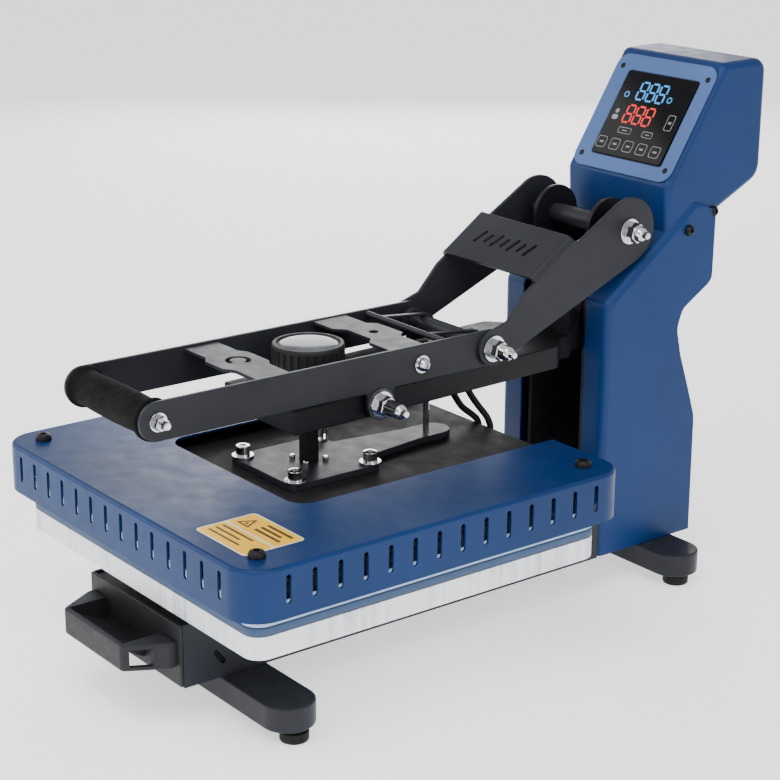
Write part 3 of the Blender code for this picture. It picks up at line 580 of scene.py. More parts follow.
def area_light(name, spot, aim, size, power):
    data = bpy.data.lights.new(name, "AREA")
    data.shape = "RECTANGLE"
    data.size, data.size_y = size
    data.energy = power
    lamp = show(name, data)
    lamp.location = spot
    lamp.rotation_mode = "QUATERNION"
    lamp.rotation_quaternion = (Vector(aim) - Vector(spot)).to_track_quat("-Z", "Y")


def make_studio():
    world = bpy.data.worlds.new("studio")
    bpy.context.scene.world = world
    world.use_nodes = True
    backdrop = world.node_tree.nodes["Background"]
    backdrop.inputs["Color"].default_value = (1.0, 1.0, 1.0, 1.0)
    backdrop.inputs["Strength"].default_value = 0.8
    for light in LIGHTS:
        area_light(*light)
    floor = bpy.data.meshes.new("floor")
    sheet = bmesh.new()
    bmesh.ops.create_grid(sheet, x_segments=1, y_segments=1, size=8.0)
    sheet.to_mesh(floor)
    sheet.free()
    made = Nodes("studio_floor")
    made.colour(made.noise(3.0), (0.94, 0.94, 0.94), (0.97, 0.97, 0.97), (0.2, 0.8))
    made.set(Roughness=0.7, Emission_Color=(1.0, 1.0, 1.0, 1.0), Emission_Strength=0.9)
    ground = adopt("floor", floor, made.material, None)


make_camera()
make_studio()

# The two heater leads, as in the CAD, from inside the arm's beam down to the heater's rear edge. Each has its
# x and the (y, z) points of its route.
CABLES = {
    "left": (-7.0, [(163, 62), (168, 48), (177, 30), (188, 14), (200, 4), (208.5, -4), (212, -15)]),
    "right": (4.0, [(175, 62), (180, 48), (189, 30), (201, 14), (211, 2), (216, -8), (216.5, -16)]),
}
CABLE_DIAMETER = 6.6


def smooth_route(points, count=24):
    """Points along a Catmull-Rom curve through (y, z) points."""
    ends = [tuple(2 * a - b for a, b in zip(points[0], points[1]))]
    ends += points
    ends.append(tuple(2 * a - b for a, b in zip(points[-1], points[-2])))
    route = []
    spans = len(points) - 1
    for i in range(count + 1):
        at = min(i / count * spans, spans - 1e-9)
        k = int(at)
        t = at - k
        a, b, c, d = (Vector(p) for p in ends[k:k + 4])
        slope, bend = (c - a) * t, (2 * a - 5 * b + 4 * c - d) * t**2
        route.append(0.5 * (2 * b + slope + bend + (3 * b - a - 3 * c + d) * t**3))
    return route


def heater_cables():
    for label, (x, points) in CABLES.items():
        route = [(x, y, z) for y, z in smooth_route(points)]
        made = tube(f"lead_{label}", route, CABLE_DIAMETER / 2, RUBBER)
        fit(made, "heater", "black_rubber", f"heater_cable_{label}")


heater_cables()

# ---------------------------------------------------------------- heater

COVER = 415.3
COVER_CORNER = 30.0
COVER_TOP = 7.7
COVER_BOTTOM = -38.0
COVER_SKIN = 2.0
SLOTS = 14
SLOT_PITCH = 25.78
SLOT_LOW = -25.3
SLOT_WIDTH = 5.0
NOTCH_HALF = 107.0
NOTCH_FRONT = -87.0
COVER_SCREW_REACH = 178.0
MOUNT_BOLT_REACH = 42.0


def heater_cover():
    half = COVER / 2
    bend = 3.5
    made = plate("cover", [rectangle(-half, half, -half, half, COVER_CORNER)], "Z",
                 COVER_BOTTOM - 2 * bend, COVER_TOP, BLUE, bend, 4)
    inner = half - COVER_SKIN
    hollow = plate("hollow", [rectangle(-inner, inner, -inner, inner, COVER_CORNER - COVER_SKIN)], "Z",
                   -90, COVER_TOP - COVER_SKIN, edge=bend - COVER_SKIN)
    foot = plate("foot_cut", [rectangle(-300, 300, -300, 300)], "Z", -90, COVER_BOTTOM)
    notch = plate("notch", [rectangle(-NOTCH_HALF, NOTCH_HALF, NOTCH_FRONT, 320, 20)], "Z", -12, 20)
    slots = []
    for index in range(SLOTS):
        outline = obround((index - (SLOTS - 1) / 2) * SLOT_PITCH, SLOT_LOW, 0, SLOT_WIDTH)
        slots.append(plate(f"slot_x_{index}", [outline], "X", -half - 9, half + 9))
        slots.append(plate(f"slot_y_{index}", [outline], "Y", -half - 9, 9 - half))
    cut(made, foot, hollow, notch, gather("slot_tools", slots))
    fit(made, "heater", "blue_cover", "heater_cover")


def warning_label():
    """A two-part amber sticker with plain shapes in place of its print."""
    top = COVER_TOP + 0.05
    parts = [plate("border", [rectangle(97, 172, -186, -125, 5)], "Z", top, top + 0.25, LABEL_EDGE)]
    for y0, y1 in ((-184, -157), (-154, -127)):
        parts.append(plate("field", [rectangle(99, 170, y0, y1, 3.5)], "Z", top + 0.25, top + 0.35, LABEL))
    high = (top + 0.35, top + 0.42)
    triangle = [(104, -149), (122, -149), (113, -133)]
    parts.append(plate("sign", [triangle, [(107.5, -147), (118.5, -147), (113, -137)]], "Z", *high, INK))
    parts.append(plate("sign_dot", [circle((113, -144), 1.8, 16)], "Z", *high, INK))
    bars = [(128, 164 - 7 * (row % 2), -133 - 6.5 * row, 1.6) for row in range(3)]
    bars += [(104, 149 - 9 * (row % 2), -162 - 7 * row, 1.2) for row in range(3)]
    for left, right, y, half in bars:
        parts.append(plate("bar", [rectangle(left, right, y - half, y + half)], "Z", *high, INK))
    fit(gather("warning_label", parts), "heater", "display_glass")


def socket_cap(name, x, y, base, radius, height, look, slot, node, washer=0.0, dome=0.0):
    """A cap screw on the heater: a washer, a cap with a rounded rim or a dome, and a round socket."""
    top = base + height
    profile = [(0, top - 2.4), (radius * 0.48, top - 2.4), (radius * 0.5, top)]
    profile += [(radius - 0.9, top), (radius - 0.25, top - 0.3), (radius, top - 0.9)]
    if dome:
        profile = [(0, top - 2.0), (radius * 0.4, top - 2.0), (radius * 0.42, top)]
        profile += [(radius * (0.6 + 0.4 * sin(a)), base + (height - dome) + dome * cos(a))
                    for a in (radians(20 * k) for k in range(5))]
    profile += [(radius, base + washer)]
    if washer:
        profile += [(radius + 3.4, base + washer), (radius + 3.6, base + washer - 0.3)]
    profile += [(profile[-1][0], base), (0, base)]
    fit(turned(name, profile, (x, y, 0), "Z", look, 36), "heater", slot, node)


def post_fittings():
    """The small nuts round the post's foot and the thin stud behind it."""
    parts = []
    for x, y in ((-11, -11), (11, -11), (-11, 11), (11, 11)):
        nut = [(0, 5.4), (2.0, 5.4), (2.6, 4.8), (2.8, 4.2), (2.8, 1.8), (0, 1.8)]
        parts.append(turned("nut", nut, (x, y, 0), "Z", CHROME, 12))
    fit(gather("post_nuts", parts), "heater", "bright_plating")
    stud = [(0, 52), (1.6, 52), (1.6, 16), (1.0, 15), (0, 15)]
    fit(turned("hanging_stud", stud, (0, 20.6, 0), "Z", CHROME, 16), "arm", "bright_plating")


def mount_plate():
    half, root, end, radius = 50.0, 26.0, 147.0, 16.0
    tip = arc((0, end), radius, 0, 180)
    front = rounded([(-half, 46, 5), (-half, -54, 5), (half, -54, 5), (half, 46, 5)])
    turn = len(front) - 1
    outline = front[:turn + 1] + [(root, 46), (radius, 118), *tip, (-radius, 118), (-root, 46)]
    made = plate("mounting_plate", [outline], "Z", -4.7, 1.5, CHARCOAL, 0.6)
    fit(made, "heater", "charcoal_steel", "mount_plate")


def build_heater():
    heater_cover()
    warning_label()
    mount_plate()
    post_fittings()
    for row, end in (("front", -1), ("rear", 1)):
        for label, side in SIDES:
            x, y = side * MOUNT_BOLT_REACH, end * MOUNT_BOLT_REACH - 3
            socket_cap(f"mount_screw_{row}_{label}", x, y, 1.8, 6.8, 11.0, CHROME, "bright_plating",
                       f"mount_bolt_{row}_{label}", washer=1.8)
            x, y = side * COVER_SCREW_REACH, end * COVER_SCREW_REACH
            socket_cap(f"cover_button_{row}_{label}", x, y, COVER_TOP + 0.1, 7.6, 5.8, BLACK_PLASTIC,
                       "black_rubber", f"cover_screw_{row}_{label}", dome=4.6)


PLATEN_HALF = 190.0
PLATEN_CORNER = 16.0


def platen(name, low, high, look, body, slot, node, edge):
    outline = rectangle(-PLATEN_HALF, PLATEN_HALF, -PLATEN_HALF, PLATEN_HALF, PLATEN_CORNER)
    fit(plate(name, [outline], "Z", low, high, look, edge), body, slot, node)


build_heater()
# The heating platen takes the aluminium whose colour holds painted shade and a painted blue reflection.
platen("heating_platen", -50.0, PLATEN_TOP, PLATEN_EDGE_PAINTED_SHADE_AND_REFLECTION, "heater", "platen_aluminium", "heat_platen", 0.8)
platen("pressing_platen", -79.0, -58.3, ALUMINIUM, "drawer", "platen_aluminium", "lower_platen", 0.7)
platen("pad", -58.0, -50.3, SILICONE, "drawer", "silicone_pad", "silicone_pad", 1.8)

# ---------------------------------------------------------------- pivots

ARM_PIVOT = (335.0, 120.0)
HANDLE_PIVOT = (34.0, 65.0)
LINK_PIVOT = (163.0, 95.0)
HEAD_PIVOT = (333.0, 183.0)
BAR_INNER = 60.0
BAR_OUTER = 64.0
YOKE_INNER = 64.3
YOKE_OUTER = 68.3


WASHER = 1.5
DARK_WASHER = 1.2
NUT_REACH = 13.0


def washer_profile(radius, start, thick):
    """A flat washer's profile, from its outer face down to start, with a softened edge."""
    end = start + thick
    return [(0, end), (radius - 0.3, end), (radius, end - 0.3), (radius, start), (0, start)]


def nut_parts(start, spot, washer, across, tip, side, dark_washer=0.0):
    """A washer, a six-sided nut with a long barrel, and its stud's end, standing out from start to tip."""
    parts = []
    at = start
    if dark_washer:
        ring = washer_profile(dark_washer, at, DARK_WASHER)
        parts.append(crosswise("dark_washer", ring, spot, DARK_STEEL, 48, side))
        at += DARK_WASHER
    parts.append(crosswise("washer", washer_profile(washer, at, WASHER), spot, CHROME, 48, side))
    at += WASHER
    corner = across / 2 / cos(pi / 6)
    top = start + NUT_REACH
    parts.append(plate("hexagon", [circle(spot, corner, 6, 0.3)], "X", *spread(side, at, top), CHROME, 0.6))
    stud = [(0, tip), (2.6, tip), (3.4, tip - 0.8), (3.5, tip - 6)]
    barrel = [(5.0, tip - 6.4), (6.4, tip - 7.4), (7.1, tip - 9), (across * 0.46, top + 1.2)]
    barrel += [(across * 0.47, top - 0.6), (0, top - 0.6)]
    parts.append(crosswise("barrel", stud + barrel, spot, CHROME, 36, side))
    return parts


# ---------------------------------------------------------------- arm


BEAM_FRONT = -55.0
BEAM_LOW = 50.0
BEAM_TOP = 72.5
BEAM_SKIN = 4.0
STRAP_BAR = (111.0, 109.0)


def beam_outline(inset):
    half, nose = 56.0 - inset, 37.0 - inset
    end = 290.0 + 4 * inset
    right = [(half, BEAM_FRONT + inset, 2), (half, 258, 12), (nose, 272, 12), (nose, end, 0)]
    return rounded(right + [(-x, y, radius) for x, y, radius in right[::-1]])


def tilt(made):
    """The arm's beam rises a degree to the rear, about the lower edge of its front end."""
    hinge = place((0, BEAM_FRONT, BEAM_LOW))
    turn = Matrix.Translation(hinge) @ Matrix.Rotation(radians(1.0), 4, "X") @ Matrix.Translation(-hinge)
    made.data.transform(turn)
    return made


def arm_beam():
    beam = tilt(plate("beam", [beam_outline(0)], "Z", BEAM_LOW, BEAM_TOP, BLACK_COAT, 1.4, 3))
    hollow = tilt(plate("beam_hollow", [beam_outline(BEAM_SKIN)], "Z", 0, BEAM_TOP - BEAM_SKIN))
    bore = crosswise("bore", [(0, 90), (7.3, 90), (7.3, -90), (0, -90)], HANDLE_PIVOT, None, 32)
    well = turned("well", [(0, 100), (8.6, 100), (8.6, 40), (0, 40)], (0, 0, 0), "Z", None, 32)
    cut(beam, hollow, bore, well)
    fit(beam, "arm", "black_steel", "arm_beam")


def handle_pin():
    parts = [crosswise("pin", [(0, 64), (7, 64), (7, -64), (0, -64)], HANDLE_PIVOT, CHROME, 32)]
    spacer = [(0, 59.7), (10.5, 59.7), (10.5, 56.3), (0, 56.3)]
    for _, side in SIDES:
        parts.append(crosswise("spacer", spacer, HANDLE_PIVOT, DARK_STEEL, 32, side))
        parts += nut_parts(BAR_OUTER + GAP, HANDLE_PIVOT, 12.4, 17.0, 102.2, side, 14.8)
    fit(gather("handle_pin", parts), "arm", "bright_plating", "arm_pin")


def cross_tube():
    """The tube on the arm, with a collar at each end, and its two feet."""
    collar = [(0, 57.5), (11.2, 57.5), (12, 56.7), (12, 51), (11.2, 50.2), (8.5, 50.2)]
    profile = [*collar, *[(radius, -x) for radius, x in collar[::-1]]]
    parts = [crosswise("tube", profile, LINK_PIVOT, CHARCOAL)]
    foot = rounded([(150, 77.1, 0), (176, 77.5, 0), (169, 95, 5), (157, 95, 5)])
    for _, side in SIDES:
        parts.append(plate("tube_foot", [foot], "X", *spread(side, 44, 50), BLACK_COAT, 0.6))
    fit(gather("cross_tube", parts), "arm", "black_steel", "rest_tube")


def thin_strap():
    """The thin cross bar, with two hooks over the tube."""
    bar = [(0, 58), (3, 58), (3, -58), (0, -58)]
    parts = [crosswise("strap_bar", bar, STRAP_BAR, CHARCOAL, 24)]
    hook = ribbon([STRAP_BAR, *arc(LINK_PIVOT, 8.9, 95, -35)], 2.6)
    for _, side in SIDES:
        parts.append(plate("hook", [hook], "X", *spread(side, 33, 39), CHARCOAL, 0.5))
    fit(gather("strap", parts), "arm", "black_steel", "rest_strap")


def build_arm():
    arm_beam()
    handle_pin()
    cross_tube()
    thin_strap()


# ---------------------------------------------------------------- knob


def build_knob():
    base, top, reach = 79.0, 114.0, 33.5
    rim = [(0, 2), (27.8, 2), (28.6, 1.6), (29.4, 0.2), (30.2, 0), (31.4, 0), (32.4, 0.3), (33.1, 1.2)]
    rim += [(33.3, 2.4), (33.3, 3.2), (reach, 3.8), (reach, 4.4)]
    foot = [(reach, 3.0), (33.0, 2.0), (32.0, 1.0), (31.0, 0), (8, 0)]
    profile = [(radius, top - drop) for radius, drop in rim]
    profile += [(radius, base + rise) for radius, rise in foot]
    profile += [(8, 59.5), (0, 59.5)]
    made = turned("knob", profile, (0, 0, 0), "Z", PLASTIC, 336, flutes=28, flute_depth=1.7,
                  flute_zone=(base + 1.5, top - 4.2))
    fit(made, "knob", "charcoal_plastic", "pressure_knob")
    low = top - 1.9
    cap = [(0, 2.6), (10, 2.5), (18, 2.2), (24, 1.6), (26.6, 1.0), (27.4, 0.4), (27.5, 0), (0, 0)]
    cap = [(radius, low + rise) for radius, rise in cap]
    fit(turned("knob_lens", cap, (0, 0, 0), "Z", LENS, 64), "knob", "clear_cap", "knob_cap")


# ---------------------------------------------------------------- handle

GRIP_Y = -198.0
BAR_TOP = 112.4
BAR_BOTTOM = 77.6
GRIP_AXIS = (GRIP_Y, (BAR_TOP + BAR_BOTTOM) / 2)
BAR_SCREW = (80.5, 94.2)
LUG_REACH = 14.0


def handle_bar(label, side):
    end = (BAR_TOP - BAR_BOTTOM) / 2 - 0.1
    front, rear = GRIP_Y - end, LINK_PIVOT[0] + end
    y, z = HANDLE_PIVOT
    lug_front, lug_rear, lug_low = y - LUG_REACH, y + LUG_REACH, z - LUG_REACH
    corners = [(front, BAR_TOP, end), (rear, BAR_TOP, end), (rear, BAR_BOTTOM, end)]
    corners += [(lug_rear, BAR_BOTTOM, 5), (lug_rear, lug_low, 13.5), (lug_front, lug_low, 13.5)]
    corners += [(lug_front, BAR_BOTTOM, 5), (front, BAR_BOTTOM, end)]
    loops = [rounded(corners), circle(GRIP_AXIS, 4.3), circle(HANDLE_PIVOT, 7.3)]
    made = plate(f"side_bar_{label}", loops, "X", *spread(side, BAR_INNER, BAR_OUTER), CHARCOAL, 0.8, 3)
    fit(made, "handle", "charcoal_steel", f"handle_bar_{label}")
    screw = [(0, 68.4), (2.6, 68.4), (3.0, 71.6), (4.4, 71.3), (5.6, 70.2), (6.2, 68.4), (6.2, 65.9)]
    screw += [(8.2, 65.9), (8.4, 65.6), (8.4, 64.3), (0, 64.3)]
    made = crosswise(f"side_screw_{label}", screw, BAR_SCREW, CHROME, 32, side)
    fit(made, "handle", "bright_plating", f"bar_bolt_{label}")


def build_handle():
    for label, side in SIDES:
        handle_bar(label, side)
    reach = BAR_INNER - 0.3
    half = [(14, -101.5), (24, -95), (reach, -95), (reach, -59.5), (26, -59.5), (16, -54)]
    slot = arc((0, -76), 11.5, 15, 290) + arc((0, -76), 7.5, 290, 15)
    made = plate("front_bridge", [mirrored(half), slot], "Z", 107.6, 110.6, CHARCOAL, 0.5)
    fit(made, "handle", "charcoal_steel", "front_cross_plate")
    half = [(18, 57), (28, 48), (reach, 48), (reach, 86), (26, 86), (19, 94)]
    made = plate("rear_bridge", [mirrored(half), circle((2, 73), 4.5)], "Z", 108.5, 111.5, CHARCOAL, 0.5)
    fit(made, "handle", "charcoal_steel", "rear_cross_plate")
    build_grip()


def build_grip():
    """A foam sleeve with a rolled flange at each end, slightly fuller in the middle."""
    reach = BAR_INNER - 0.4
    half = [(17.2, reach), (18.3, reach - 0.6), (18.8, reach - 1.6), (18.8, reach - 4.6), (18.2, reach - 5.8)]
    half += [(16.6, reach - 7.0), (15.9, reach - 9.0), (15.7, reach - 13.0)]
    body = [(15.7 + 0.9 * cos(radians(90 * x / 46)), x) for x in range(40, -41, -8)]
    profile = [(0, reach), *half, *body, *[(radius, -x) for radius, x in half[::-1]], (0, -reach)]
    made = crosswise("foam_sleeve", profile, GRIP_AXIS, FOAM, 64)
    fit(made, "handle", "foam_grip", "handle_grip")
    parts = []
    ring = [(0, 65.7), (8.3, 65.7), (8.5, 65.4), (8.5, 64.3), (0, 64.3)]
    hexagon = circle(GRIP_AXIS, 6.6, 6, 0.2)
    end = [(0, 80.3), (2.8, 80.3), (3.8, 79.5), (3.9, 72.0), (0, 72.0)]
    for _, side in SIDES:
        parts.append(crosswise("ring", ring, GRIP_AXIS, CHROME, 32, side))
        parts.append(plate("nut", [hexagon], "X", *spread(side, 65.7, 72.4), CHROME, 0.4))
        parts.append(crosswise("end", end, GRIP_AXIS, CHROME, 24, side))
    fit(gather("grip_bolt", parts), "handle", "bright_plating", "grip_rod")


# ---------------------------------------------------------------- yoke

BRIDGE_FRONT = (209.0, 155.5)
BRIDGE_REAR = (257.0, 189.0)
YOKE_BEND = 7.0


def yoke_side(side):
    reach = hypot(HEAD_PIVOT[0] - LINK_PIVOT[0], HEAD_PIVOT[1] - LINK_PIVOT[1])
    toward = degrees(atan2(LINK_PIVOT[1] - HEAD_PIVOT[1], LINK_PIVOT[0] - HEAD_PIVOT[0]))
    head, tip = 33.0, 17.0
    touch = toward + degrees(acos((head - tip) / reach))
    slope = Vector(BRIDGE_REAR) - Vector(BRIDGE_FRONT)
    down = Vector((slope.y, -slope.x)).normalized() * YOKE_BEND
    low_front, low_rear = Vector(BRIDGE_FRONT) + down, Vector(BRIDGE_REAR) + down
    outline = arc(HEAD_PIVOT, head, touch, 128)
    outline += [(272.0, 184.5), (266.0, 182.2), (260.5, 183.5), tuple(low_rear), tuple(low_front)]
    outline += [(203.0, 143.0), (194.0, 133.0), (180.0, 118.0)] + arc(LINK_PIVOT, tip, 100, touch + 360)
    holes = [circle(HEAD_PIVOT, 8.3), circle(LINK_PIVOT, 6.3)]
    return plate("yoke_side", [outline, *holes], "X", *spread(side, YOKE_INNER, YOKE_OUTER), CHARCOAL, 0.7, 3)


def yoke_bridge():
    """The bent plate across the yoke, with a row of plain slanted slots."""
    slope = Vector(BRIDGE_REAR) - Vector(BRIDGE_FRONT)
    run, angle = slope.length, atan2(slope.y, slope.x)
    out, skin, leg = YOKE_OUTER + 0.04, 4.1, 12.0
    right = [(out, -leg), *arc((out - YOKE_BEND, -YOKE_BEND), YOKE_BEND, 0, 90, 15)]
    inner = [*arc((out - YOKE_BEND, -YOKE_BEND), YOKE_BEND - skin, 90, 0, 30), (out - skin, -leg)]
    outline = right + [(-x, v) for x, v in right[::-1]] + [(-x, v) for x, v in inner[::-1]] + inner
    made = to_origin(plate("bridge", [outline], "Y", 0, run, CHARCOAL, 0.7, 2))
    slots = []
    for index in range(7):
        u = (index - 3) * 12.0
        height = 13.0 if index % 2 else 18.0
        slot = obround(0, -height / 2, height / 2, 4.6)
        lean = Matrix.Rotation(radians(-20), 2)
        loop = [tuple(lean @ Vector(point) + Vector((u, run / 2))) for point in slot]
        slots.append(to_origin(plate(f"mark_{index}", [loop], "Z", -20, 20)))
    cut(made, gather("marks", slots))
    made.data.transform(Matrix.Translation(place((0, *BRIDGE_FRONT))) @ Matrix.Rotation(angle, 4, "X"))
    return made


def build_yoke():
    made = join(yoke_bridge(), yoke_side(-1), yoke_side(1))
    fit(made, "yoke", "charcoal_steel", "yoke")
    stub = [(0, 71), (6, 71), (6, YOKE_INNER), (0, YOKE_INNER)]
    for label, side in SIDES:
        parts = [crosswise("stub", stub, LINK_PIVOT, CHROME, 32, side)]
        parts += nut_parts(YOKE_OUTER + GAP, LINK_PIVOT, 12.6, 16.0, 98.2, side)
        fit(gather(f"link_nut_{label}", parts), "yoke", "bright_plating", f"link_bolt_{label}")


build_arm()
build_knob()
build_handle()
build_yoke()

# ---------------------------------------------------------------- drawer and base

PULL_FRONT = -233.0
DRAWER_FACE = -190.0


def drawer_pull():
    back, wall, wide, narrow = DRAWER_FACE - 0.3, 4.0, 70.0, 50.0
    low, high = -128.0, -103.0
    outer = [(-wide, back, 0), (-wide, back - 7, 5), (-narrow, PULL_FRONT, 6)]
    outer += [(-x, y, radius) for x, y, radius in outer[::-1]]
    made = plate("pull", [rounded(outer)], "Z", low, high, PLASTIC, 2.2, 3)
    front, half = PULL_FRONT + wall, narrow - 3
    sag = [(front + (back - front) * t, high - 1 - 21 * t**0.8) for t in (0, 0.15, 0.3, 0.5, 0.75, 1.05)]
    scoop = plate("scoop", [[(front, 0), *sag, (back + 2, 0)]], "X", -half, half)
    inner = [(-wide + wall, back - wall), (-half, front), (half, front), (wide - wall, back - wall)]
    hollow = plate("pull_hollow", [inner], "Z", -200, 0)
    below = [(front, -200), *[(y, z - 4) for y, z in sag[:-1]], (back - wall, -200)]
    combine(hollow, [plate("under", [below], "X", -90, 90)], "INTERSECT")
    windows = []
    for _, side in SIDES:
        loop = rectangle(front + 2, front + 20, low + 4, high - 5, 1.5)
        windows.append(plate("window", [loop], "X", *spread(side, half + 1, 90)))
    cut(made, scoop, hollow, *windows)
    fit(made, "drawer", "charcoal_plastic", "drawer_pull")


def build_drawer():
    drawer_pull()
    outline = rectangle(-76, 76, -145, -88, 1.5)
    made = plate("front_plate", [outline], "Y", DRAWER_FACE, DRAWER_FACE + 3, PLASTIC, 0.8)
    fit(made, "drawer", "charcoal_plastic", "drawer_front")


# Each base beam's row, its y, half its length, and how far out its feet stand.
BASE_BEAMS = (("front", -124.5, 166.0, 151.0), ("rear", 381.5, 127.0, 107.0))
BASE_BEAM_HALF = 24.5


def build_base():
    for row, y, half, _ in BASE_BEAMS:
        outline = rectangle(-half, half, y - BASE_BEAM_HALF, y + BASE_BEAM_HALF, 24.3)
        made = plate(f"{row}_beam", [outline], "Z", -170, -147, CHARCOAL, 1.8, 3)
        fit(made, "stand", "charcoal_steel", f"base_{row}_beam")
    profile = [(0, -170.3), (11, -170.3), (11, -173), (12.6, -173.6), (13, -174.4), (13, -181.2)]
    profile += [(12.4, -182.4), (11.4, -183), (8, -183), (7.4, -182.2), (0, -182.2)]
    for row, y, _, x in BASE_BEAMS:
        for label, side in SIDES:
            made = turned(f"foot_pad_{row}_{label}", profile, (side * x, y, 0), "Z", RUBBER, 40)
            fit(made, "stand", "black_rubber", f"foot_{row}_{label}")
    path = [(-76, -88), (-76, -146.7), (76, -146.7), (76, -88)]
    made = plate("rail", [ribbon(path, 2.5)], "Y", -186.7, 299.7, CHARCOAL, 0.5)
    slant = rounded([(-157.5, -122, 2), (-153.5, -118.5, 2), (-143, -132, 2), (-147, -135.5, 2)])
    cut(made, plate("port", [slant], "X", -90, 90))
    fit(made, "stand", "charcoal_steel", "base_channel")


build_drawer()
build_base()

# ---------------------------------------------------------------- column and head

FRONT = 300.0
FOOT = -146.5
SHELL_HALF = 75.6
SKIN = 2.0
REAR_LINE = rounded([(430, FOOT, 0), (429, -22, 30), (418, 10.6, 0), (405, 47, 30), (398, 76, 24),
                     (405, 95, 14), (444.5, 119, 12), (445, 190, 0)])


def column_body(name, inset, edge):
    """The column's closed outer form, extended past its foot and rear, inset by a distance."""
    front = [(FRONT + inset, -220, 0), (FRONT + inset, 116, 12), (377 + inset * 0.6, 173.5 - inset, 0)]
    top = [(415 + inset * 0.6, 203 - inset, 0), (520, 203 - inset, 0), (520, -220, 0)]
    outline = rounded(front + top)
    return plate(name, [outline], "X", inset - SHELL_HALF, SHELL_HALF - inset, BLUE, edge, 5)


def column_shell(label, side):
    made = column_body(f"side_cover_{label}", 0, 8.0)
    rear = [*REAR_LINE, (600, 203), (600, -300), (430, -300)]
    top = [(414.5, 230), (414.5, 203.2), (444.8, 189.8), (600, 189.8), (600, 230)]
    tools = [
        column_body("inside", SKIN, 6.0),
        plate("rear_cut", [rear], "X", -90, 90),
        plate("foot_cut", [rectangle(200, 600, -300, FOOT)], "X", -90, 90),
        plate("top_cut", [top], "X", -90, 90),
        plate("half_cut", [rectangle(200, 620, -300, 300)], "X", *sorted((46.0 * side, -90.0 * side))),
    ]
    return cut(made, *tools)


def build_column():
    for label, side in SIDES:
        fit(column_shell(label, side), "stand", "blue_cover", f"column_shell_{label}")
        top = arc(HEAD_PIVOT, 28, 0, 180)
        outline = [(390, -146), (390, 60), (361, 110), *top, (305, 150), (306, 60), (306, -146)]
        holes = [circle(HEAD_PIVOT, 10.3), circle(ARM_PIVOT, 8.3)]
        cheek = plate(f"inner_plate_{label}", [outline, *holes], "X", *spread(side, 36, 41), BLACK_COAT, 0.7)
        fit(cheek, "stand", "black_steel", f"column_frame_{label}")
    rear = [(y - 1.5, z) for y, z in REAR_LINE]
    rear[-1] = (rear[-1][0], 182)
    made = plate("rear_cover", [ribbon(rear, SKIN)], "X", -73.2, 73.2, BLUE, 0.5)
    fit(made, "stand", "blue_cover", "column_back_cover")
    shaft = [(0, 44), (10, 44), (10, 43.6), (10, -43.6), (10, -44), (0, -44)]
    journal = [(0, 70), (8, 70), (8, 44), (0, 44)]
    collar = [(0, 50), (12, 50), (12.5, 49.5), (12.5, 41.6), (0, 41.6)]
    parts = [crosswise("shaft", shaft, HEAD_PIVOT, CHARCOAL, 40)]
    for _, side in SIDES:
        parts.append(crosswise("journal", journal, HEAD_PIVOT, CHARCOAL, 40, side))
        parts.append(crosswise("collar", collar, HEAD_PIVOT, BLACK_COAT, 40, side))
        parts += nut_parts(YOKE_OUTER + GAP, HEAD_PIVOT, 12.6, 17.0, 94.2, side)
    fit(gather("yoke_shaft", parts), "stand", "bright_plating", "main_shaft")


FACE_FOOT = (378.0, 221.0)
FACE_TOP = (451.2, 335.0)
FACE_SLOPE = atan2(FACE_TOP[1] - FACE_FOOT[1], FACE_TOP[0] - FACE_FOOT[0])
HEAD_HALF = 72.0
PRINT = (3.7, 3.85)


def on_face(made):
    """Moves a piece drawn flat round the press point onto the head's sloped face."""
    onto = Matrix.Translation(place((0, *FACE_FOOT))) @ Matrix.Rotation(FACE_SLOPE, 4, "X")
    to_origin(made).data.transform(onto)
    return made


def centred(u, v, wide, tall, radius):
    """A rounded rectangle about (u, v), from half its width and half its height."""
    return rectangle(u - wide, u + wide, v - tall, v + tall, radius)


def segment_digit(u, v, size, look):
    """A seven-segment eight, leaning a little, with its lower left corner at (u, v)."""
    wide, tall, bar = size * 0.52, size, size * 0.11
    lean = 0.12
    segments = [(0.5, row / 2, True) for row in range(3)]
    segments += [(column, row, False) for column in (0, 1) for row in (0.25, 0.75)]
    made = []
    for across, up, flat in segments:
        middle = (u + across * wide + lean * up * tall, v + up * tall)
        half = (wide * 0.40, bar / 2) if flat else (bar / 2, tall * 0.20)
        made.append(plate("segment", [centred(*middle, *half, min(half) * 0.6)], "Z", *PRINT, look))
    return made


def display():
    parts = [plate("glass", [rectangle(-44.5, 52.5, 18.5, 110.5, 3)], "Z", 2.2, 3.6, GLASS, 0.4)]
    for index in range(3):
        parts += segment_digit(-19 + 13.5 * index, 81, 19, BLUE_LIGHT)
        parts += segment_digit(-23 + 13.5 * index, 55, 19, RED_LIGHT)
    for spot in ((-32, 84.5), (27, 86)):
        parts.append(plate("mark", [circle(spot, 3.4, 24), circle(spot, 2.2, 24)], "Z", *PRINT, BLUE_LIGHT))
    parts.append(plate("mark", [circle((-34, 65.5), 2.6, 16)], "Z", *PRINT, WHITE_INK))
    parts.append(plate("mark", [rectangle(-38, -30, 56, 61.5, 2.2)], "Z", *PRINT, WHITE_INK))
    parts += ring_mark(41, 63, 5, 8.5)
    for index in range(5):
        parts += ring_mark(-36 + 18.8 * index, 30.5, 6.6, 6.2)
    for u, half in ((-12.4, 9), (19.4, 7)):
        parts += ring_mark(u, 46.3, half, 3.4)
    fit(gather("display", [on_face(part) for part in parts]), "stand", "display_glass", "display_glass")


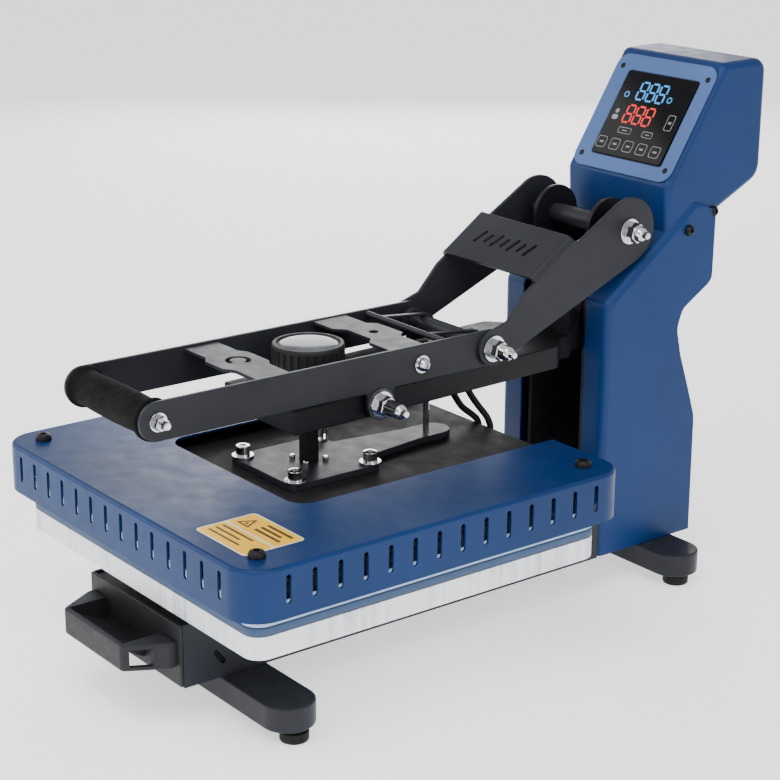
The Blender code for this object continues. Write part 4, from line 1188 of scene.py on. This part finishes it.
def ring_mark(u, v, half_wide, half_tall):
    """A rounded outline with a small plain bar in it, as a touch key has."""
    wide, tall = half_wide - 0.7, half_tall - 0.7
    outer = centred(u, v, half_wide, half_tall, min(half_wide, half_tall) * 0.45)
    inner = centred(u, v, wide, tall, min(wide, tall) * 0.45)
    bar = centred(u, v, half_wide * 0.4, half_tall * 0.16, 0.3)
    return [plate("key", loops, "Z", *PRINT, WHITE_INK) for loops in ([outer, inner], [bar])]


def build_head():
    outline = rounded([(381, 163, 0), (*FACE_FOOT, 6), (*FACE_TOP, 9), (511, 336, 14), (511, 217.5, 20),
                       (454, 190, 6)])
    made = plate("head", [outline], "X", -HEAD_HALF, HEAD_HALF, BLUE, 7.0, 6)
    inside = rounded([(383.6, 140, 0), (381, 220, 6), (452.7, 332.4, 6), (508.4, 333.4, 10), (508.4, 219, 16),
                      (453, 192.5, 4), (440, 185, 0), (440, 140, 0)])
    cut(made, plate("head_hollow", [inside], "X", -69.5, 69.5))
    fit(made, "stand", "blue_cover", "head_shell")
    outer = rectangle(-67, 70, 2.5, 129, 14)
    well = rectangle(-45.5, 53.5, 17.5, 111.5, 3.5)
    bezel = [on_face(plate("panel", [outer, well], "Z", 0.3, 2.3, BLUE_PANEL, 0.9, 3))]
    bezel.append(on_face(plate("panel_back", [well], "Z", 0.3, 1.9, BLACK_PLASTIC)))
    screw = [(0, 2.5), (1.2, 2.5), (1.3, 3.0), (2.4, 2.9), (3.0, 2.5), (3.1, 2.2), (0, 2.2)]
    for u in (-57, 61.5):
        for v in (15, 114.5):
            bezel.append(on_face(turned("panel_screw", screw, (u, v, 0), "Z", BLACK_PLASTIC, 24)))
    fit(gather("head_panel", bezel), "stand", "pale_blue_panel", "head_bezel")
    display()
    parts = []
    button = [(0, 3.2), (1.8, 3.2), (2.0, 5.4), (3.6, 4.8), (4.9, 3.4), (5.4, 1.6), (5.4, 0), (0, 0)]
    for _, side in SIDES:
        for spot, start in (((407, 175), SHELL_HALF), ((443.7, 189), HEAD_HALF)):
            profile = [(radius, start + rise) for radius, rise in button]
            parts.append(crosswise("button", profile, spot, BLACK_PLASTIC, 28, side))
    fit(gather("column_buttons", parts), "stand", "black_plastic")


build_column()
build_head()

# ---------------------------------------------------------------- what stays as the CAD has it

CAD_LOOKS = {
    "arm_neck": BLACK_COAT,
    "arm_shaft": DARK_STEEL,
    "heater_top_plate": HOT_BLACK,
    "pressure_post": BLACK_COAT,
    "guide_rod": CHROME,
    "drawer_carriage": BLACK_COAT,
    "power_inlet": BLACK_PLASTIC,
    "switch_housing": BLACK_PLASTIC,
    "switch_rocker": RED,
}
for node, look in CAD_LOOKS.items():
    mesh = frame["nodes"][node].data
    mesh.materials.clear()
    mesh.materials.append(look)
